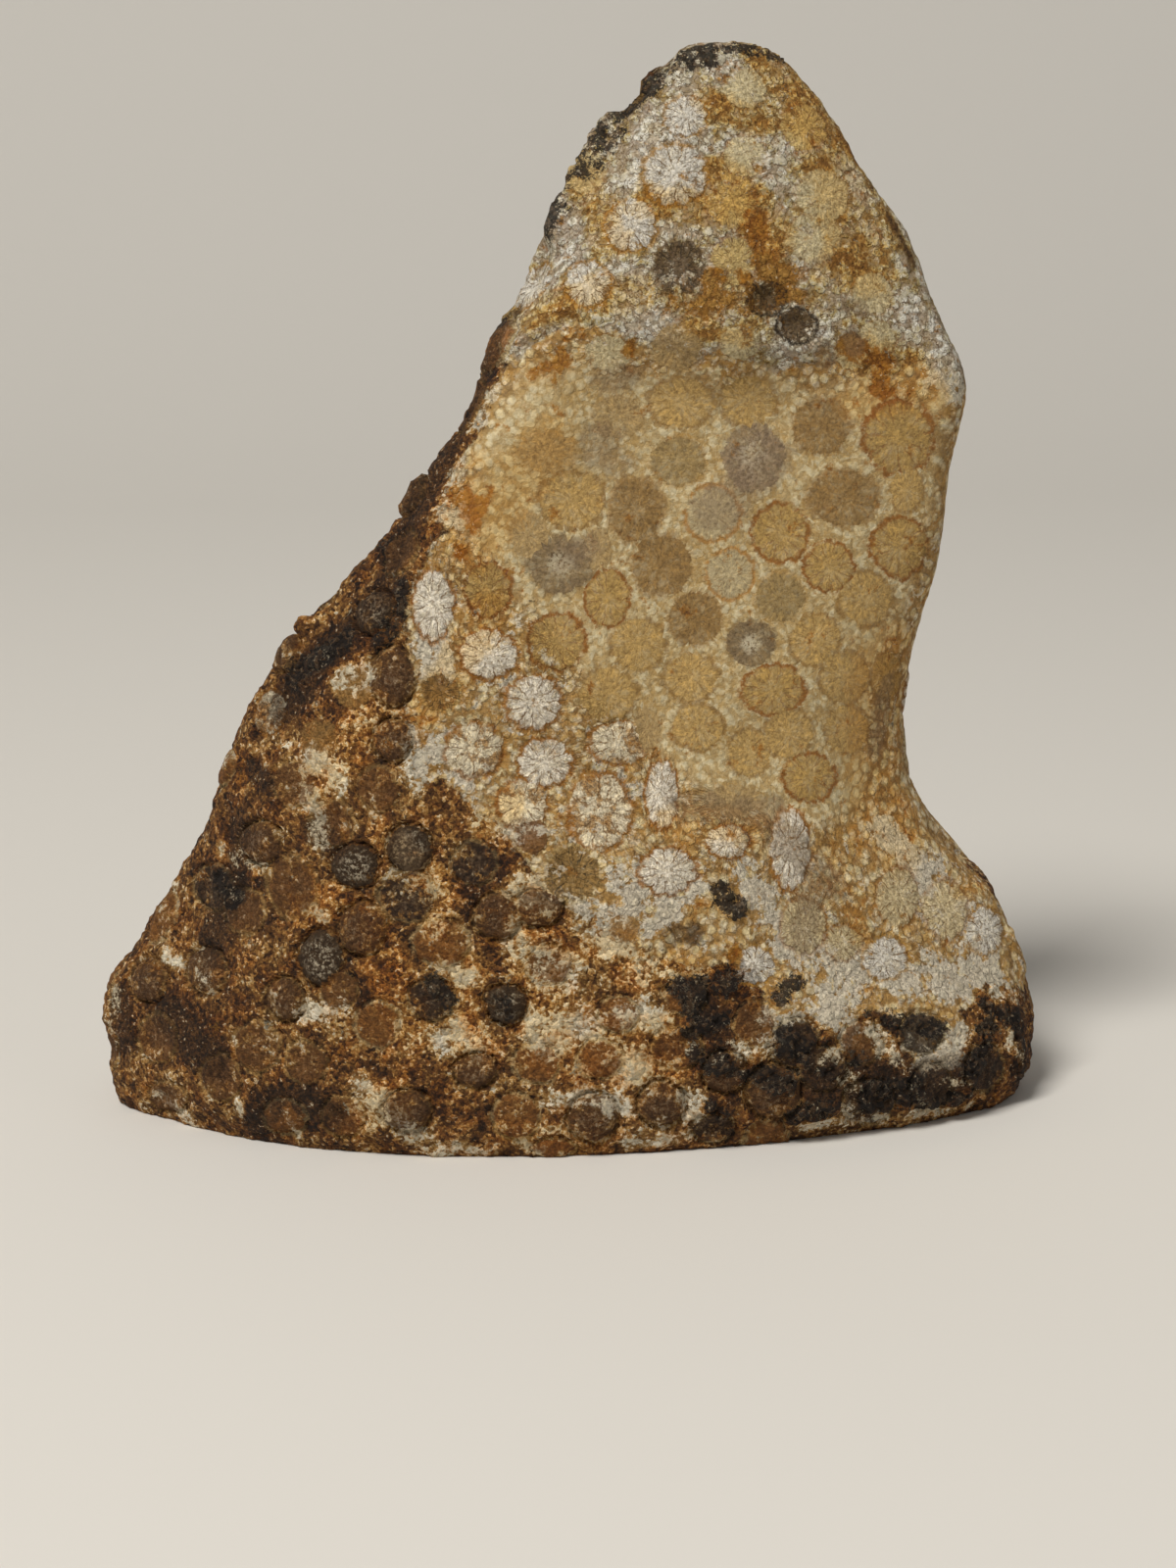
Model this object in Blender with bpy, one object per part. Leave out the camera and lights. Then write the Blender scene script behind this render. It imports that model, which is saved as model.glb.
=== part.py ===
"""Fossil coral head: one lump of petrified colony coral, sawn flat underneath so that it stands up.

The stone is lofted through plan outlines. Each level holds the same thirteen points in the same
order, so that every point draws one line up the stone: a corner, a ridge or the middle of a face.
"""

import bmesh
import bpy
import numpy as np
from mathutils import Vector, noise

MM = 0.001

HEIGHT = 163.1  # the sawn base to the tip
TIP = (21.7, 0.0)  # where the tip stands in plan
COLUMNS = 84  # faces round the stone
ROWS = 42  # faces from the base to the top level
CURVE_STEPS = 24  # steps along an outline's curve between two of its points

# Broad lumps left by weathering, a little larger than the cups that the colony grew in.
LUMP_SIZE = 13.0
LUMP_HEIGHT = 1.1
LUMP_FADE = 9.0  # the lumps die out over this height above the sawn base

# Height, then the outline's points (x, y) from the left corner, round the front and back again:
# left corner, left shoulder, left front, ridge, face left, face middle, face right, right front,
# right corner, back right, back middle right, back middle left, back left.
LEVELS = (
    (0.0, ((-73.9, -3), (-66, -14), (-50, -26), (-30, -33), (-8, -35), (12, -33), (34, -27.5),
           (54, -19), (65.5, -8), (62, 13), (28, 30), (-18, 33), (-58, 21))),
    (2.0, ((-75.7, -3), (-67.5, -15), (-51, -27.5), (-30, -34.6), (-8, -36.3), (12, -34.4), (35, -30),
           (56.5, -20.5), (67.8, -8), (63.3, 14), (28, 32), (-18, 35), (-59, 22.5))),
    (8.0, ((-76.5, -2), (-68, -15.5), (-51.5, -28.7), (-30.5, -36), (-8, -37.4), (12, -35.6), (35, -31.6),
           (57, -22), (68.6, -7), (63.6, 15), (28, 33), (-18, 36), (-59.5, 23))),
    (18.0, ((-76.1, -1), (-67, -15), (-50.5, -29), (-32, -36), (-8, -36.8), (12, -36), (32.5, -32),
            (52.5, -21.5), (67.6, -4), (62.3, 17), (28, 33), (-18, 36), (-58.5, 23))),
    (31.5, ((-67, -2), (-60, -15), (-47, -28.5), (-32, -35.8), (-8, -36.6), (12, -35.4), (28, -29),
            (46, -16), (62.2, -2.5), (57, 18), (27, 32), (-16, 35), (-51, 22))),
    (43.5, ((-60.3, -6), (-56, -16.5), (-45, -27), (-30, -34.2), (-8, -35.9), (9.5, -34.2), (28.5, -23),
            (41.2, -12.5), (52.2, 0), (49.3, 17), (26, 30), (-14, 33), (-46, 18))),
    (56.0, ((-55, -11), (-50.5, -20), (-41.5, -28), (-28.5, -33.6), (-12, -31.4), (6, -25.4), (22, -19.2),
            (37, -12), (48.8, 0), (46, 15), (25, 27), (-10, 29), (-40, 12))),
    (70.0, ((-48.3, -13), (-44, -20.5), (-36, -27.5), (-26, -31.6), (-12, -28.4), (6, -22.4), (22, -17.6),
            (38, -11.5), (49.8, -2), (47.5, 12), (26, 22), (-4, 23), (-31, 9))),
    (84.0, ((-36, -14), (-33.3, -20), (-29.5, -25), (-25, -27.6), (-13, -24.8), (6, -19.4), (24, -15.2),
            (42, -10.2), (53.6, -3), (50.5, 10), (30, 19), (4, 18), (-18, 6))),
    (98.0, ((-24.6, -13), (-23.3, -18.5), (-21.3, -22.5), (-17.8, -24.4), (-7.5, -21.8), (9, -17.2),
            (25.5, -13.4), (44, -9.4), (55.6, -4), (53, 9), (34, 16.5), (12, 15), (-8, 4))),
    (112.0, ((-16.2, -11), (-15, -16), (-12.8, -19.6), (-9, -21), (-0.5, -19), (13, -15.2), (28.5, -12),
             (46, -9), (57.3, -4.5), (54.5, 8), (38, 15), (18, 13.5), (-2, 3))),
    (120.5, ((-13.4, -9), (-12, -14), (-9.3, -17.8), (-4.5, -20), (4, -19.9), (16.5, -18.4), (30.5, -15.2),
             (45, -10.3), (54.8, -4), (52, 7.5), (38, 14), (20, 12.5), (1, 3))),
    (127.0, ((-7.9, -7.5), (-6.8, -12.2), (-4.6, -15.6), (0, -18.2), (7.5, -18.8), (18.3, -17.3),
             (30.6, -14), (43, -9.6), (52, -3.6), (49.5, 7), (36.5, 13), (20, 11.6), (2.8, 3))),
    (134.0, ((-5.8, -6), (-4.3, -10.6), (-1.7, -13.8), (3.2, -16.2), (10.5, -16.9), (20.5, -15.7),
             (31, -12.8), (41, -8.8), (48.3, -3), (45.6, 6.5), (35, 12), (20, 10.8), (4.8, 3))),
    (145.0, ((0.5, -4), (2.2, -8), (5, -10.8), (9, -12.8), (15, -13.3), (22, -12.3), (30, -9.8),
             (37, -6.6), (41.8, -2), (39.5, 5), (31, 9.5), (20, 8.8), (8, 3))),
    (154.0, ((6.2, -3), (7.8, -6), (10.2, -8), (14, -9.2), (18.3, -9.4), (23, -8.6), (28.5, -6.6),
             (33.4, -4), (36, -0.5), (34, 4), (27.5, 7), (19.5, 6.4), (11, 2.5))),
    (160.0, ((11.6, -2), (12.9, -4), (14.9, -5.2), (17.5, -5.8), (20.4, -5.8), (23.8, -5.1), (27.2, -3.7),
             (30, -1.8), (31.4, 0.5), (29.4, 3.2), (25, 4.6), (20, 4.3), (15, 1.8))),
    (162.6, ((16.2, -1.2), (17, -2.3), (18.2, -2.9), (19.6, -3.1), (21.2, -3), (23, -2.6), (25, -1.9),
             (26.5, -0.9), (27.2, 0.4), (26.2, 1.7), (23.8, 2.3), (20.8, 2.2), (18, 1))),
)

STONE_COLOUR = (0.35, 0.22, 0.11, 1.0)
STONE_ROUGHNESS = 0.85


def clear_scene():
    for obj in list(bpy.data.objects):
        bpy.data.objects.remove(obj)


def spline_between(before, start, end, after, share):
    """A point of the Catmull-Rom curve from start to end, at that share of the way."""
    return 0.5 * (
        2 * start
        + (end - before) * share
        + (2 * before - 5 * start + 4 * end - after) * share**2
        + (3 * start - before - 3 * end + after) * share**3
    )


def round_outline(points):
    """COLUMNS points on the closed smooth curve through an outline's points, evenly spaced along it."""
    points = np.array(points, float)
    count = len(points)
    fine = []
    for i in range(count):
        four = [points[(i + k) % count] for k in (-1, 0, 1, 2)]
        shares = np.linspace(0, 1, CURVE_STEPS, endpoint=False)
        fine += [spline_between(*four, share) for share in shares]
    fine = np.array(fine + [points[0]])
    along = np.concatenate([[0], np.cumsum(np.linalg.norm(np.diff(fine, axis=0), axis=1))])
    places = np.linspace(0, along[-1], COLUMNS, endpoint=False)
    return np.stack([np.interp(places, along, fine[:, axis]) for axis in (0, 1)], axis=1)


def loft_rows():
    """ROWS + 1 rings of points in millimetres, from the base to the top level."""
    rings = []
    for height, outline in LEVELS:
        plan = round_outline(outline)
        rings.append(np.column_stack([plan, np.full(COLUMNS, height)]))
    last = len(rings) - 1
    heights = [height for height, _ in LEVELS]
    rows = []
    for z in np.linspace(0, heights[-1], ROWS + 1):
        i = min(int(np.searchsorted(heights, z, side="right")) - 1, last - 1)
        share = (z - heights[i]) / (heights[i + 1] - heights[i])
        before, after = rings[max(i - 1, 0)], rings[min(i + 2, last)]
        row = spline_between(before, rings[i], rings[i + 1], after, share)
        row[:, 2] = z
        rows.append(row)
    return rows


def add_lumps(mesh):
    """Moves the surface in and out by smooth noise, and leaves the sawn base flat."""
    moves = []
    for vert in mesh.verts:
        height = vert.co.z / MM
        strength = LUMP_HEIGHT * min(height / LUMP_FADE, 1.0)
        lump = noise.noise(vert.co / (LUMP_SIZE * MM)) * strength * MM
        moves.append(vert.normal * lump)
    for vert, move in zip(mesh.verts, moves):
        vert.co += move


def stone_mesh():
    """The closed stone: rings of faces up the sides, one flat face below and a fan at the tip."""
    mesh = bmesh.new()
    rings = [[mesh.verts.new(Vector(p) * MM) for p in row] for row in loft_rows()]
    for low, high in zip(rings, rings[1:]):
        for i in range(COLUMNS):
            j = (i + 1) % COLUMNS
            mesh.faces.new((low[i], low[j], high[j], high[i]))
    mesh.faces.new(list(reversed(rings[0])))
    tip = mesh.verts.new(Vector((*TIP, HEIGHT)) * MM)
    top = rings[-1]
    for i in range(COLUMNS):
        mesh.faces.new((top[i], top[(i + 1) % COLUMNS], tip))
    mesh.normal_update()
    add_lumps(mesh)
    made = bpy.data.meshes.new("fossil_coral_head")
    mesh.to_mesh(made)
    mesh.free()
    return made


def stone_material():
    material = bpy.data.materials.new("weathered_fossil_coral")
    material.use_nodes = True
    shader = material.node_tree.nodes["Principled BSDF"]
    shader.inputs["Base Color"].default_value = STONE_COLOUR
    shader.inputs["Roughness"].default_value = STONE_ROUGHNESS
    shader.inputs["Metallic"].default_value = 0.0
    return material


def centre_on_base(mesh):
    """Puts the origin under the middle of the stone's box, on the plane that it stands on."""
    points = np.array([v.co for v in mesh.vertices])
    low, high = points.min(axis=0), points.max(axis=0)
    middle = (low + high) / 2
    for vert in mesh.vertices:
        vert.co -= Vector((middle[0], middle[1], low[2]))


def build():
    clear_scene()
    mesh = stone_mesh()
    centre_on_base(mesh)
    mesh.materials.append(stone_material())
    mesh.shade_smooth()
    stone = bpy.data.objects.new("fossil_coral_head", mesh)
    bpy.context.scene.collection.objects.link(stone)


build()
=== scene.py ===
"""The look of a fossil coral head: its cups, worn face, rusty crust and stains, on a plain stage."""

from functools import partial
from math import radians

import bmesh
import bpy
import numpy as np
from bpy.props import (
    FloatProperty,
    FloatVectorProperty,
    IntProperty,
    PointerProperty,
)
from mathutils import Matrix, Vector
from mathutils.bvhtree import BVHTree
from mathutils.kdtree import KDTree


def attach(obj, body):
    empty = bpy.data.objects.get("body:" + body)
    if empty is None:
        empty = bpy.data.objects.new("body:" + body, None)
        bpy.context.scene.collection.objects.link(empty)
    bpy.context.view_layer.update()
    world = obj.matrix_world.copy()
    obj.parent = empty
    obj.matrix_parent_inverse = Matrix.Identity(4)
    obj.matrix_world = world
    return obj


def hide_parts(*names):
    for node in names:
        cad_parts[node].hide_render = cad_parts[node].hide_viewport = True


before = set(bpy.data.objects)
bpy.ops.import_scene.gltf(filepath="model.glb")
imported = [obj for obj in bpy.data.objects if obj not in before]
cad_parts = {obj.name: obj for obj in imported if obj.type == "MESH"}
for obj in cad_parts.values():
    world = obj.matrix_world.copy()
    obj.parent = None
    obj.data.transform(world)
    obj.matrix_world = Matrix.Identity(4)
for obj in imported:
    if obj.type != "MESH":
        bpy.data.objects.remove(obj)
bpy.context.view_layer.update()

bl_info = {
    "name": "Fossil coral head",
    "version": (1, 0, 0),
    "blender": (4, 5, 0),
    "location": "3D View > Sidebar > Fossil Coral",
    "description": "Builds the surface of a fossil coral head and a plain stage to see it on",
    "category": "Object",
}

MM = 0.001
NODE = "fossil_coral_head"
CUP_RADIUS = 4.5  # millimetres, of a usual cup

# ---------------------------------------------------------------------------------------------
# The front view: a frame of 1200 by 1600 and its camera. Places on the front are given in it.

VIEW_SIZE = (1200, 1600)
VIEW_FOCAL = 4000.0  # focal length, in the view's pixels
SENSOR_HEIGHT = 36.0  # millimetres
CAMERA_PLACE = Vector((3.57, -594.83, 186.6)) * MM
CAMERA_DOWN = radians(13.0)
CAMERA_ROLL = radians(-0.75)
PIXEL = 0.15  # millimetres of stone for each pixel of the view


def camera_turn():
    """The camera's rotation: level and looking along +Y, then tipped down and rolled."""
    tip = Matrix.Rotation(radians(90.0) - CAMERA_DOWN, 4, "X")
    return tip @ Matrix.Rotation(CAMERA_ROLL, 4, "Z")


def view_ray(across, down):
    """The direction from the camera through a point of the view."""
    x = across - VIEW_SIZE[0] / 2
    y = VIEW_SIZE[1] / 2 - down
    return (camera_turn().to_3x3() @ Vector((x, y, -VIEW_FOCAL))).normalized()


def view_places(points):
    """The view's (across, down) of many points, as an array."""
    turn = np.array(camera_turn().to_3x3())
    local = (points - np.array(CAMERA_PLACE)) @ turn
    across = VIEW_SIZE[0] / 2 + VIEW_FOCAL * local[:, 0] / -local[:, 2]
    down = VIEW_SIZE[1] / 2 - VIEW_FOCAL * local[:, 1] / -local[:, 2]
    return np.column_stack([across, down])


# ---------------------------------------------------------------------------------------------
# Colours, as the finish that each one belongs to.


def linear(code):
    """A linear colour from an sRGB hex code."""
    parts = [int(code[i : i + 2], 16) / 255 for i in (0, 2, 4)]
    return tuple(c / 12.92 if c <= 0.04045 else ((c + 0.055) / 1.055) ** 2.4 for c in parts)


# How a cup is filled. disc, line and ring are colours: the filling, the radial walls and the edge.
# Amounts from 0 to 1: lines, edge, lobes (how scalloped), core (pale middle), stain (brown patches),
# dust (white bloom). rise is the height of the filling and moat the depth of the groove round it, in mm.
LOOKS = {
    "tan": dict(disc="AC8D54", line="85632B", ring="85622A", lines=0.65, edge=0.7, lobes=0.3, rise=0.05),
    "orange": dict(disc="A4854B", line="7E5424", ring="885A23", lines=0.85, edge=1.0, lobes=0.6, rise=0.05),
    "olive": dict(disc="8D764A", line="7E6439", ring="96702F", lines=0.35, edge=0.45, lobes=0.2, rise=0.03),
    "umber": dict(disc="84673A", line="6A4E2B", ring="85602C", lines=0.45, edge=0.45, lobes=0.2, rise=0.03),
    "violet": dict(disc="7D6A52", line="5E4D3E", ring="7E6643", lines=0.5, edge=0.2, lobes=0.1, core=0.5,
                   dust=0.45),
    "ash": dict(disc="AA9A76", line="8E7446", ring="A07130", lines=0.5, edge=0.8, lobes=0.4, rise=0.05),
    "slate": dict(disc="746145", line="57452C", ring="6B5330", lines=0.5, edge=0.5, lobes=0.3, core=0.8),
    "faint": dict(disc="A08659", line="97794A", ring="9A7841", lines=0.3, edge=0.35, lobes=0.2),
    "white": dict(disc="DED6C6", line="806039", ring="95611F", lines=0.9, edge=0.85, lobes=1.0, rise=0.35,
                  moat=0.35),
    "piebald": dict(disc="DCD0B4", line="7A5730", ring="95611F", lines=0.9, edge=0.8, lobes=0.8, stain=0.8,
                    rise=0.2, moat=0.35),
    "fan": dict(disc="C2B18A", line="7F5B29", ring="8E5F22", lines=0.9, edge=0.6, lobes=0.7, rise=0.2,
                moat=0.2),
    "well": dict(disc="86693A", line="33260F", ring="B79C62", lines=1.0, edge=0.4, lobes=0.5, stain=0.3,
                 rise=-0.9),
    # hole: a deep pit; its very dark filling, walls and rim are partly its own dark fill and partly painted
    # shade inside the pit.
    "hole": dict(disc="5C4628", line="1A120A", ring="2B1E10", lines=1.0, edge=0.9, lobes=0.3, rise=-1.5,
                 moat=0.3),
    "burst": dict(disc="5C4830", line="1F160D", ring="7A5C33", lines=1.0, edge=0.4, lobes=0.8, rise=-0.4),
    "crusted": dict(disc="D2CDC2", line="755628", ring="A87A2C", lines=0.95, edge=0.7, lobes=0.9, rise=0.2,
                    moat=0.15),
    "pale": dict(disc="C6B892", line="8A6A38", ring="A0783C", lines=0.5, edge=0.35, lobes=0.5, rise=0.05),
    "rosette": dict(disc="BDA369", line="7A5226", ring="8F5E24", lines=0.7, edge=0.35, lobes=0.9, rise=0.1),
    "plug": dict(disc="5A3C1E", line="2C1E11", ring="B08F5A", lines=0.45, edge=0.3, lobes=0.2, dust=0.25,
                 rise=0.8, moat=1.1),
    "dusty": dict(disc="45331F", line="2A1E13", ring="5F4223", lines=0.3, edge=0.3, lobes=0.2, dust=1.0,
                  rise=1.0, moat=1.2),
    "cast": dict(disc="6F4A24", line="3F2911", ring="BD9A60", lines=0.4, edge=0.4, lobes=0.2, dust=0.1,
                 rise=-0.6, moat=0.6),
    "dark": dict(disc="332518", line="22170D", ring="9A875F", lines=0.3, edge=0.45, lobes=0.2, dust=0.15,
                 rise=-0.4, moat=0.8),
    "buried": dict(disc="94703C", line="5E3F1C", ring="94703C", lines=0.25, lobes=0.2),
    "rusty": dict(disc="855727", line="4C2F12", ring="CDB27E", lines=0.5, edge=0.5, lobes=0.3, stain=0.3,
                  rise=0.3, moat=0.6),
}

# The cups of the front: across, down, width and height in the view, then how it is filled.
CUPS = (
    (695, 411, 70, 50, "tan"), (764, 410, 62, 52, "tan"), (838, 435, 62, 58, "umber"),
    (917, 447, 74, 74, "orange"), (692, 470, 60, 52, "olive"), (769, 467, 66, 74, "violet"),
    (861, 508, 76, 60, "umber"), (649, 520, 60, 68, "umber"), (727, 524, 58, 58, "ash"),
    (797, 544, 60, 60, "orange"), (583, 510, 70, 60, "tan"), (560, 462, 66, 42, "faint"),
    (572, 576, 74, 60, "slate"), (676, 577, 64, 64, "umber"), (745, 586, 50, 52, "ash"),
    (846, 579, 52, 52, "orange"), (918, 558, 60, 60, "orange"), (796, 610, 52, 54, "olive"),
    (883, 611, 58, 58, "tan"), (620, 610, 46, 62, "orange"), (709, 631, 56, 56, "umber"),
    (766, 657, 52, 50, "slate"), (832, 653, 56, 54, "tan"), (568, 654, 60, 60, "orange"),
    (651, 657, 58, 58, "tan"), (498, 602, 50, 58, "orange"), (705, 691, 56, 52, "tan"),
    (620, 709, 60, 58, "tan"), (789, 704, 66, 54, "orange"), (862, 691, 56, 54, "tan"),
    (712, 742, 54, 50, "tan"), (660, 745, 30, 50, "faint"), (765, 768, 46, 50, "tan"),
    (805, 748, 52, 52, "tan"), (864, 745, 50, 50, "tan"), (826, 793, 56, 50, "orange"),
    (749, 817, 60, 34, "faint"), (630, 425, 56, 44, "faint"), (905, 690, 36, 50, "tan"),
    (925, 500, 36, 46, "tan"), (540, 545, 44, 48, "faint"), (610, 560, 30, 44, "faint"),
    (545, 717, 62, 58, "white"), (499, 668, 60, 54, "white"), (556, 778, 60, 52, "white"),
    (632, 758, 64, 46, "piebald"), (612, 828, 68, 82, "piebald"), (675, 811, 36, 72, "white"),
    (681, 889, 62, 50, "white"), (743, 859, 46, 36, "white"), (806, 866, 44, 88, "white"),
    (916, 915, 48, 62, "fan"), (442, 617, 44, 74, "white"), (484, 765, 62, 56, "piebald"),
    (533, 820, 54, 54, "piebald"), (542, 852, 38, 40, "cast"), (584, 892, 62, 58, "well"),
    (820, 945, 50, 60, "fan"), (860, 962, 42, 36, "fan"), (903, 978, 50, 44, "crusted"),
    (965, 928, 50, 62, "fan"), (449, 706, 42, 40, "well"), (636, 948, 36, 30, "buried"),
    (1005, 950, 44, 50, "crusted"), (770, 985, 44, 40, "crusted"), (689, 178, 66, 66, "crusted"),
    (643, 230, 56, 56, "crusted"), (693, 272, 54, 60, "burst"), (749, 266, 50, 52, "rosette"),
    (783, 305, 42, 34, "hole"), (813, 332, 42, 37, "hole"), (747, 205, 50, 60, "rosette"),
    (597, 178, 46, 46, "pale"), (840, 200, 56, 56, "pale"), (830, 244, 60, 52, "pale"),
    (820, 130, 52, 50, "rosette"), (690, 355, 56, 46, "faint"), (868, 360, 34, 34, "pale"),
    (700, 118, 46, 44, "crusted"), (760, 90, 46, 44, "pale"), (600, 290, 50, 50, "crusted"),
    (760, 160, 46, 44, "pale"), (890, 300, 44, 44, "pale"), (620, 360, 50, 36, "pale"),
    (895, 345, 40, 36, "pale"), (755, 350, 44, 34, "pale"), (327, 978, 48, 58, "dusty"),
    (417, 866, 48, 50, "dusty"), (362, 884, 50, 46, "dusty"), (484, 881, 46, 46, "dark"),
    (369, 948, 52, 54, "plug"), (415, 915, 60, 54, "dark"), (400, 755, 42, 46, "plug"),
    (400, 690, 50, 60, "plug"), (385, 805, 44, 48, "cast"), (340, 840, 46, 46, "cast"),
    (450, 962, 60, 50, "rusty"), (508, 936, 50, 48, "plug"), (550, 927, 50, 40, "plug"),
    (526, 1140, 50, 48, "rusty"), (605, 1141, 54, 50, "plug"), (675, 1128, 50, 48, "plug"),
    (727, 1152, 46, 30, "dark"), (790, 1115, 60, 56, "plug"), (840, 1090, 50, 50, "dark"),
    (887, 1125, 54, 50, "dark"), (810, 1065, 54, 50, "dark"), (485, 1093, 46, 36, "plug"),
    (548, 1085, 48, 42, "rusty"), (612, 1082, 48, 40, "rusty"), (630, 1035, 42, 38, "rusty"),
    (770, 1045, 42, 48, "cast"), (298, 905, 56, 62, "cast"), (290, 1020, 42, 46, "plug"),
    (160, 1060, 46, 50, "cast"), (262, 1068, 50, 52, "cast"), (312, 1085, 44, 46, "cast"),
    (440, 1020, 48, 44, "dark"), (516, 1025, 44, 42, "dusty"), (385, 1045, 46, 48, "rusty"),
    (565, 1172, 44, 22, "rusty"), (225, 1100, 46, 48, "cast"), (350, 1140, 46, 44, "cast"),
    (415, 1135, 50, 44, "plug"), (290, 1140, 46, 40, "rusty"), (210, 990, 46, 48, "plug"),
    (250, 930, 44, 48, "cast"), (690, 1070, 52, 46, "cast"), (740, 1095, 46, 44, "plug"),
    (700, 1015, 44, 40, "rusty"), (950, 1110, 46, 50, "dark"), (1005, 1090, 44, 50, "dark"),
    (940, 1055, 46, 44, "dark"), (880, 1065, 46, 44, "cast"), (560, 985, 46, 42, "cast"),
    (345, 1010, 40, 40, "cast"), (170, 1120, 44, 34, "cast"), (300, 800, 46, 46, "cast"),
    (325, 755, 44, 46, "buried"), (360, 700, 44, 50, "buried"), (265, 860, 46, 44, "plug"),
    (218, 905, 44, 46, "dark"), (150, 1000, 40, 46, "plug"),
)

# Outlines of the front's zones, in the view.
WORN_FACE = (
    (522, 400), (545, 372), (600, 370), (650, 386), (696, 372), (740, 394), (786, 380), (830, 404),
    (880, 386), (920, 414), (962, 402), (956, 500), (926, 600), (888, 700), (884, 780), (878, 822),
    (850, 838), (790, 832), (735, 815), (700, 790), (665, 768), (640, 730), (600, 700), (560, 640),
    (520, 600), (490, 560), (475, 520), (482, 470), (500, 430),
)
CREAM_BAND = (
    (524, 318), (506, 400), (478, 455), (460, 500), (448, 550), (424, 594), (412, 625), (417, 700),
    (424, 790), (468, 806), (520, 852), (555, 915), (600, 936), (650, 968), (700, 985), (760, 985),
    (776, 1004), (786, 1052), (804, 1060), (812, 1034), (848, 1046), (866, 1076), (880, 1034), (912, 1040),
    (930, 1086), (958, 1104), (982, 1074), (984, 1032), (1012, 1000), (1046, 1010), (1040, 945), (990, 880),
    (950, 790), (990, 600), (1000, 380), (1000, 300), (900, 300), (700, 300),
)
CRUSTED_KNOB = (
    (500, 330), (520, 300), (556, 200), (640, 100), (700, 30), (800, 30), (900, 180), (1000, 330),
    (1000, 400), (940, 370), (890, 394), (840, 360), (790, 382), (740, 354), (700, 368), (640, 345),
    (590, 330), (545, 352), (515, 372),
)

# The zones in order: the outline, then half the width of its soft edge in the view.
ZONES = ((WORN_FACE, 34), (CREAM_BAND, 16), (CRUSTED_KNOB, 22))

# Painted patches: half-width in the view, then the line that the patch follows.
BLACK_PATCHES = (
    (13, ((722, 62), (694, 76))), (17, ((672, 82), (648, 106), (640, 116))),
    (16, ((634, 130), (618, 152), (606, 172))), (13, ((580, 212), (570, 244))),
    (7, ((650, 86), (690, 62), (740, 52))), (9, ((752, 50), (792, 62))), (5, ((596, 184), (584, 206))),
    (8, ((414, 596), (404, 640))), (16, ((350, 655), (300, 690))), (12, ((400, 640), (385, 655))),
    (14, ((225, 900), (238, 915))), (15, ((736, 914), (750, 926))),
    (9, ((796, 1020), (802, 1008), (814, 1004))), (11, ((712, 1080), (740, 1090))),
    (16, ((715, 1012), (742, 1000))), (16, ((885, 1046), (960, 1052))), (14, ((1002, 1020), (1030, 1036))),
    (12, ((795, 1050), (790, 1070))), (22, ((880, 1120), (925, 1112))), (15, ((740, 1080), (800, 1105))),
    (18, ((1005, 1050), (985, 1100))), (16, ((800, 1060), (850, 1090))), (11, ((704, 1050), (736, 1042))),
    (14, ((1030, 1030), (1040, 1090))), (14, ((850, 1068), (872, 1080))), (10, ((720, 1125), (738, 1138))),
    (10, ((940, 1130), (985, 1118))), (9, ((486, 380), (478, 425))), (9, ((500, 345), (512, 330))),
    (12, ((445, 1005), (455, 1020))), (12, ((372, 545), (395, 556))), (10, ((512, 1020), (520, 1034))),
    (10, ((690, 1006), (705, 1030))), (13, ((812, 1138), (850, 1130))),
)
DARK_PATCHES = (
    (6, ((806, 62), (852, 120), (890, 192))), (6, ((908, 222), (932, 272))), (6, ((600, 178), (575, 206))),
    (14, ((515, 330), (490, 400), (455, 470), (430, 520))), (9, ((512, 312), (526, 318))),
    (22, ((395, 600), (340, 660), (290, 720))), (20, ((455, 470), (400, 570))),
    (26, ((170, 1040), (215, 1080))), (22, ((245, 850), (230, 930), (215, 960))),
    (26, ((840, 1105), (1000, 1095))), (20, ((120, 1020), (125, 1060))), (18, ((310, 1120), (335, 1140))),
    (13, ((700, 1010), (740, 1060))), (9, ((508, 318), (484, 420), (440, 500))),
    (13, ((684, 958), (706, 952))), (18, ((1040, 1040), (1040, 1090))), (15, ((258, 1150), (286, 1122))),
    (14, ((318, 846), (345, 868))), (10, ((255, 780), (275, 800))),
)
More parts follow.
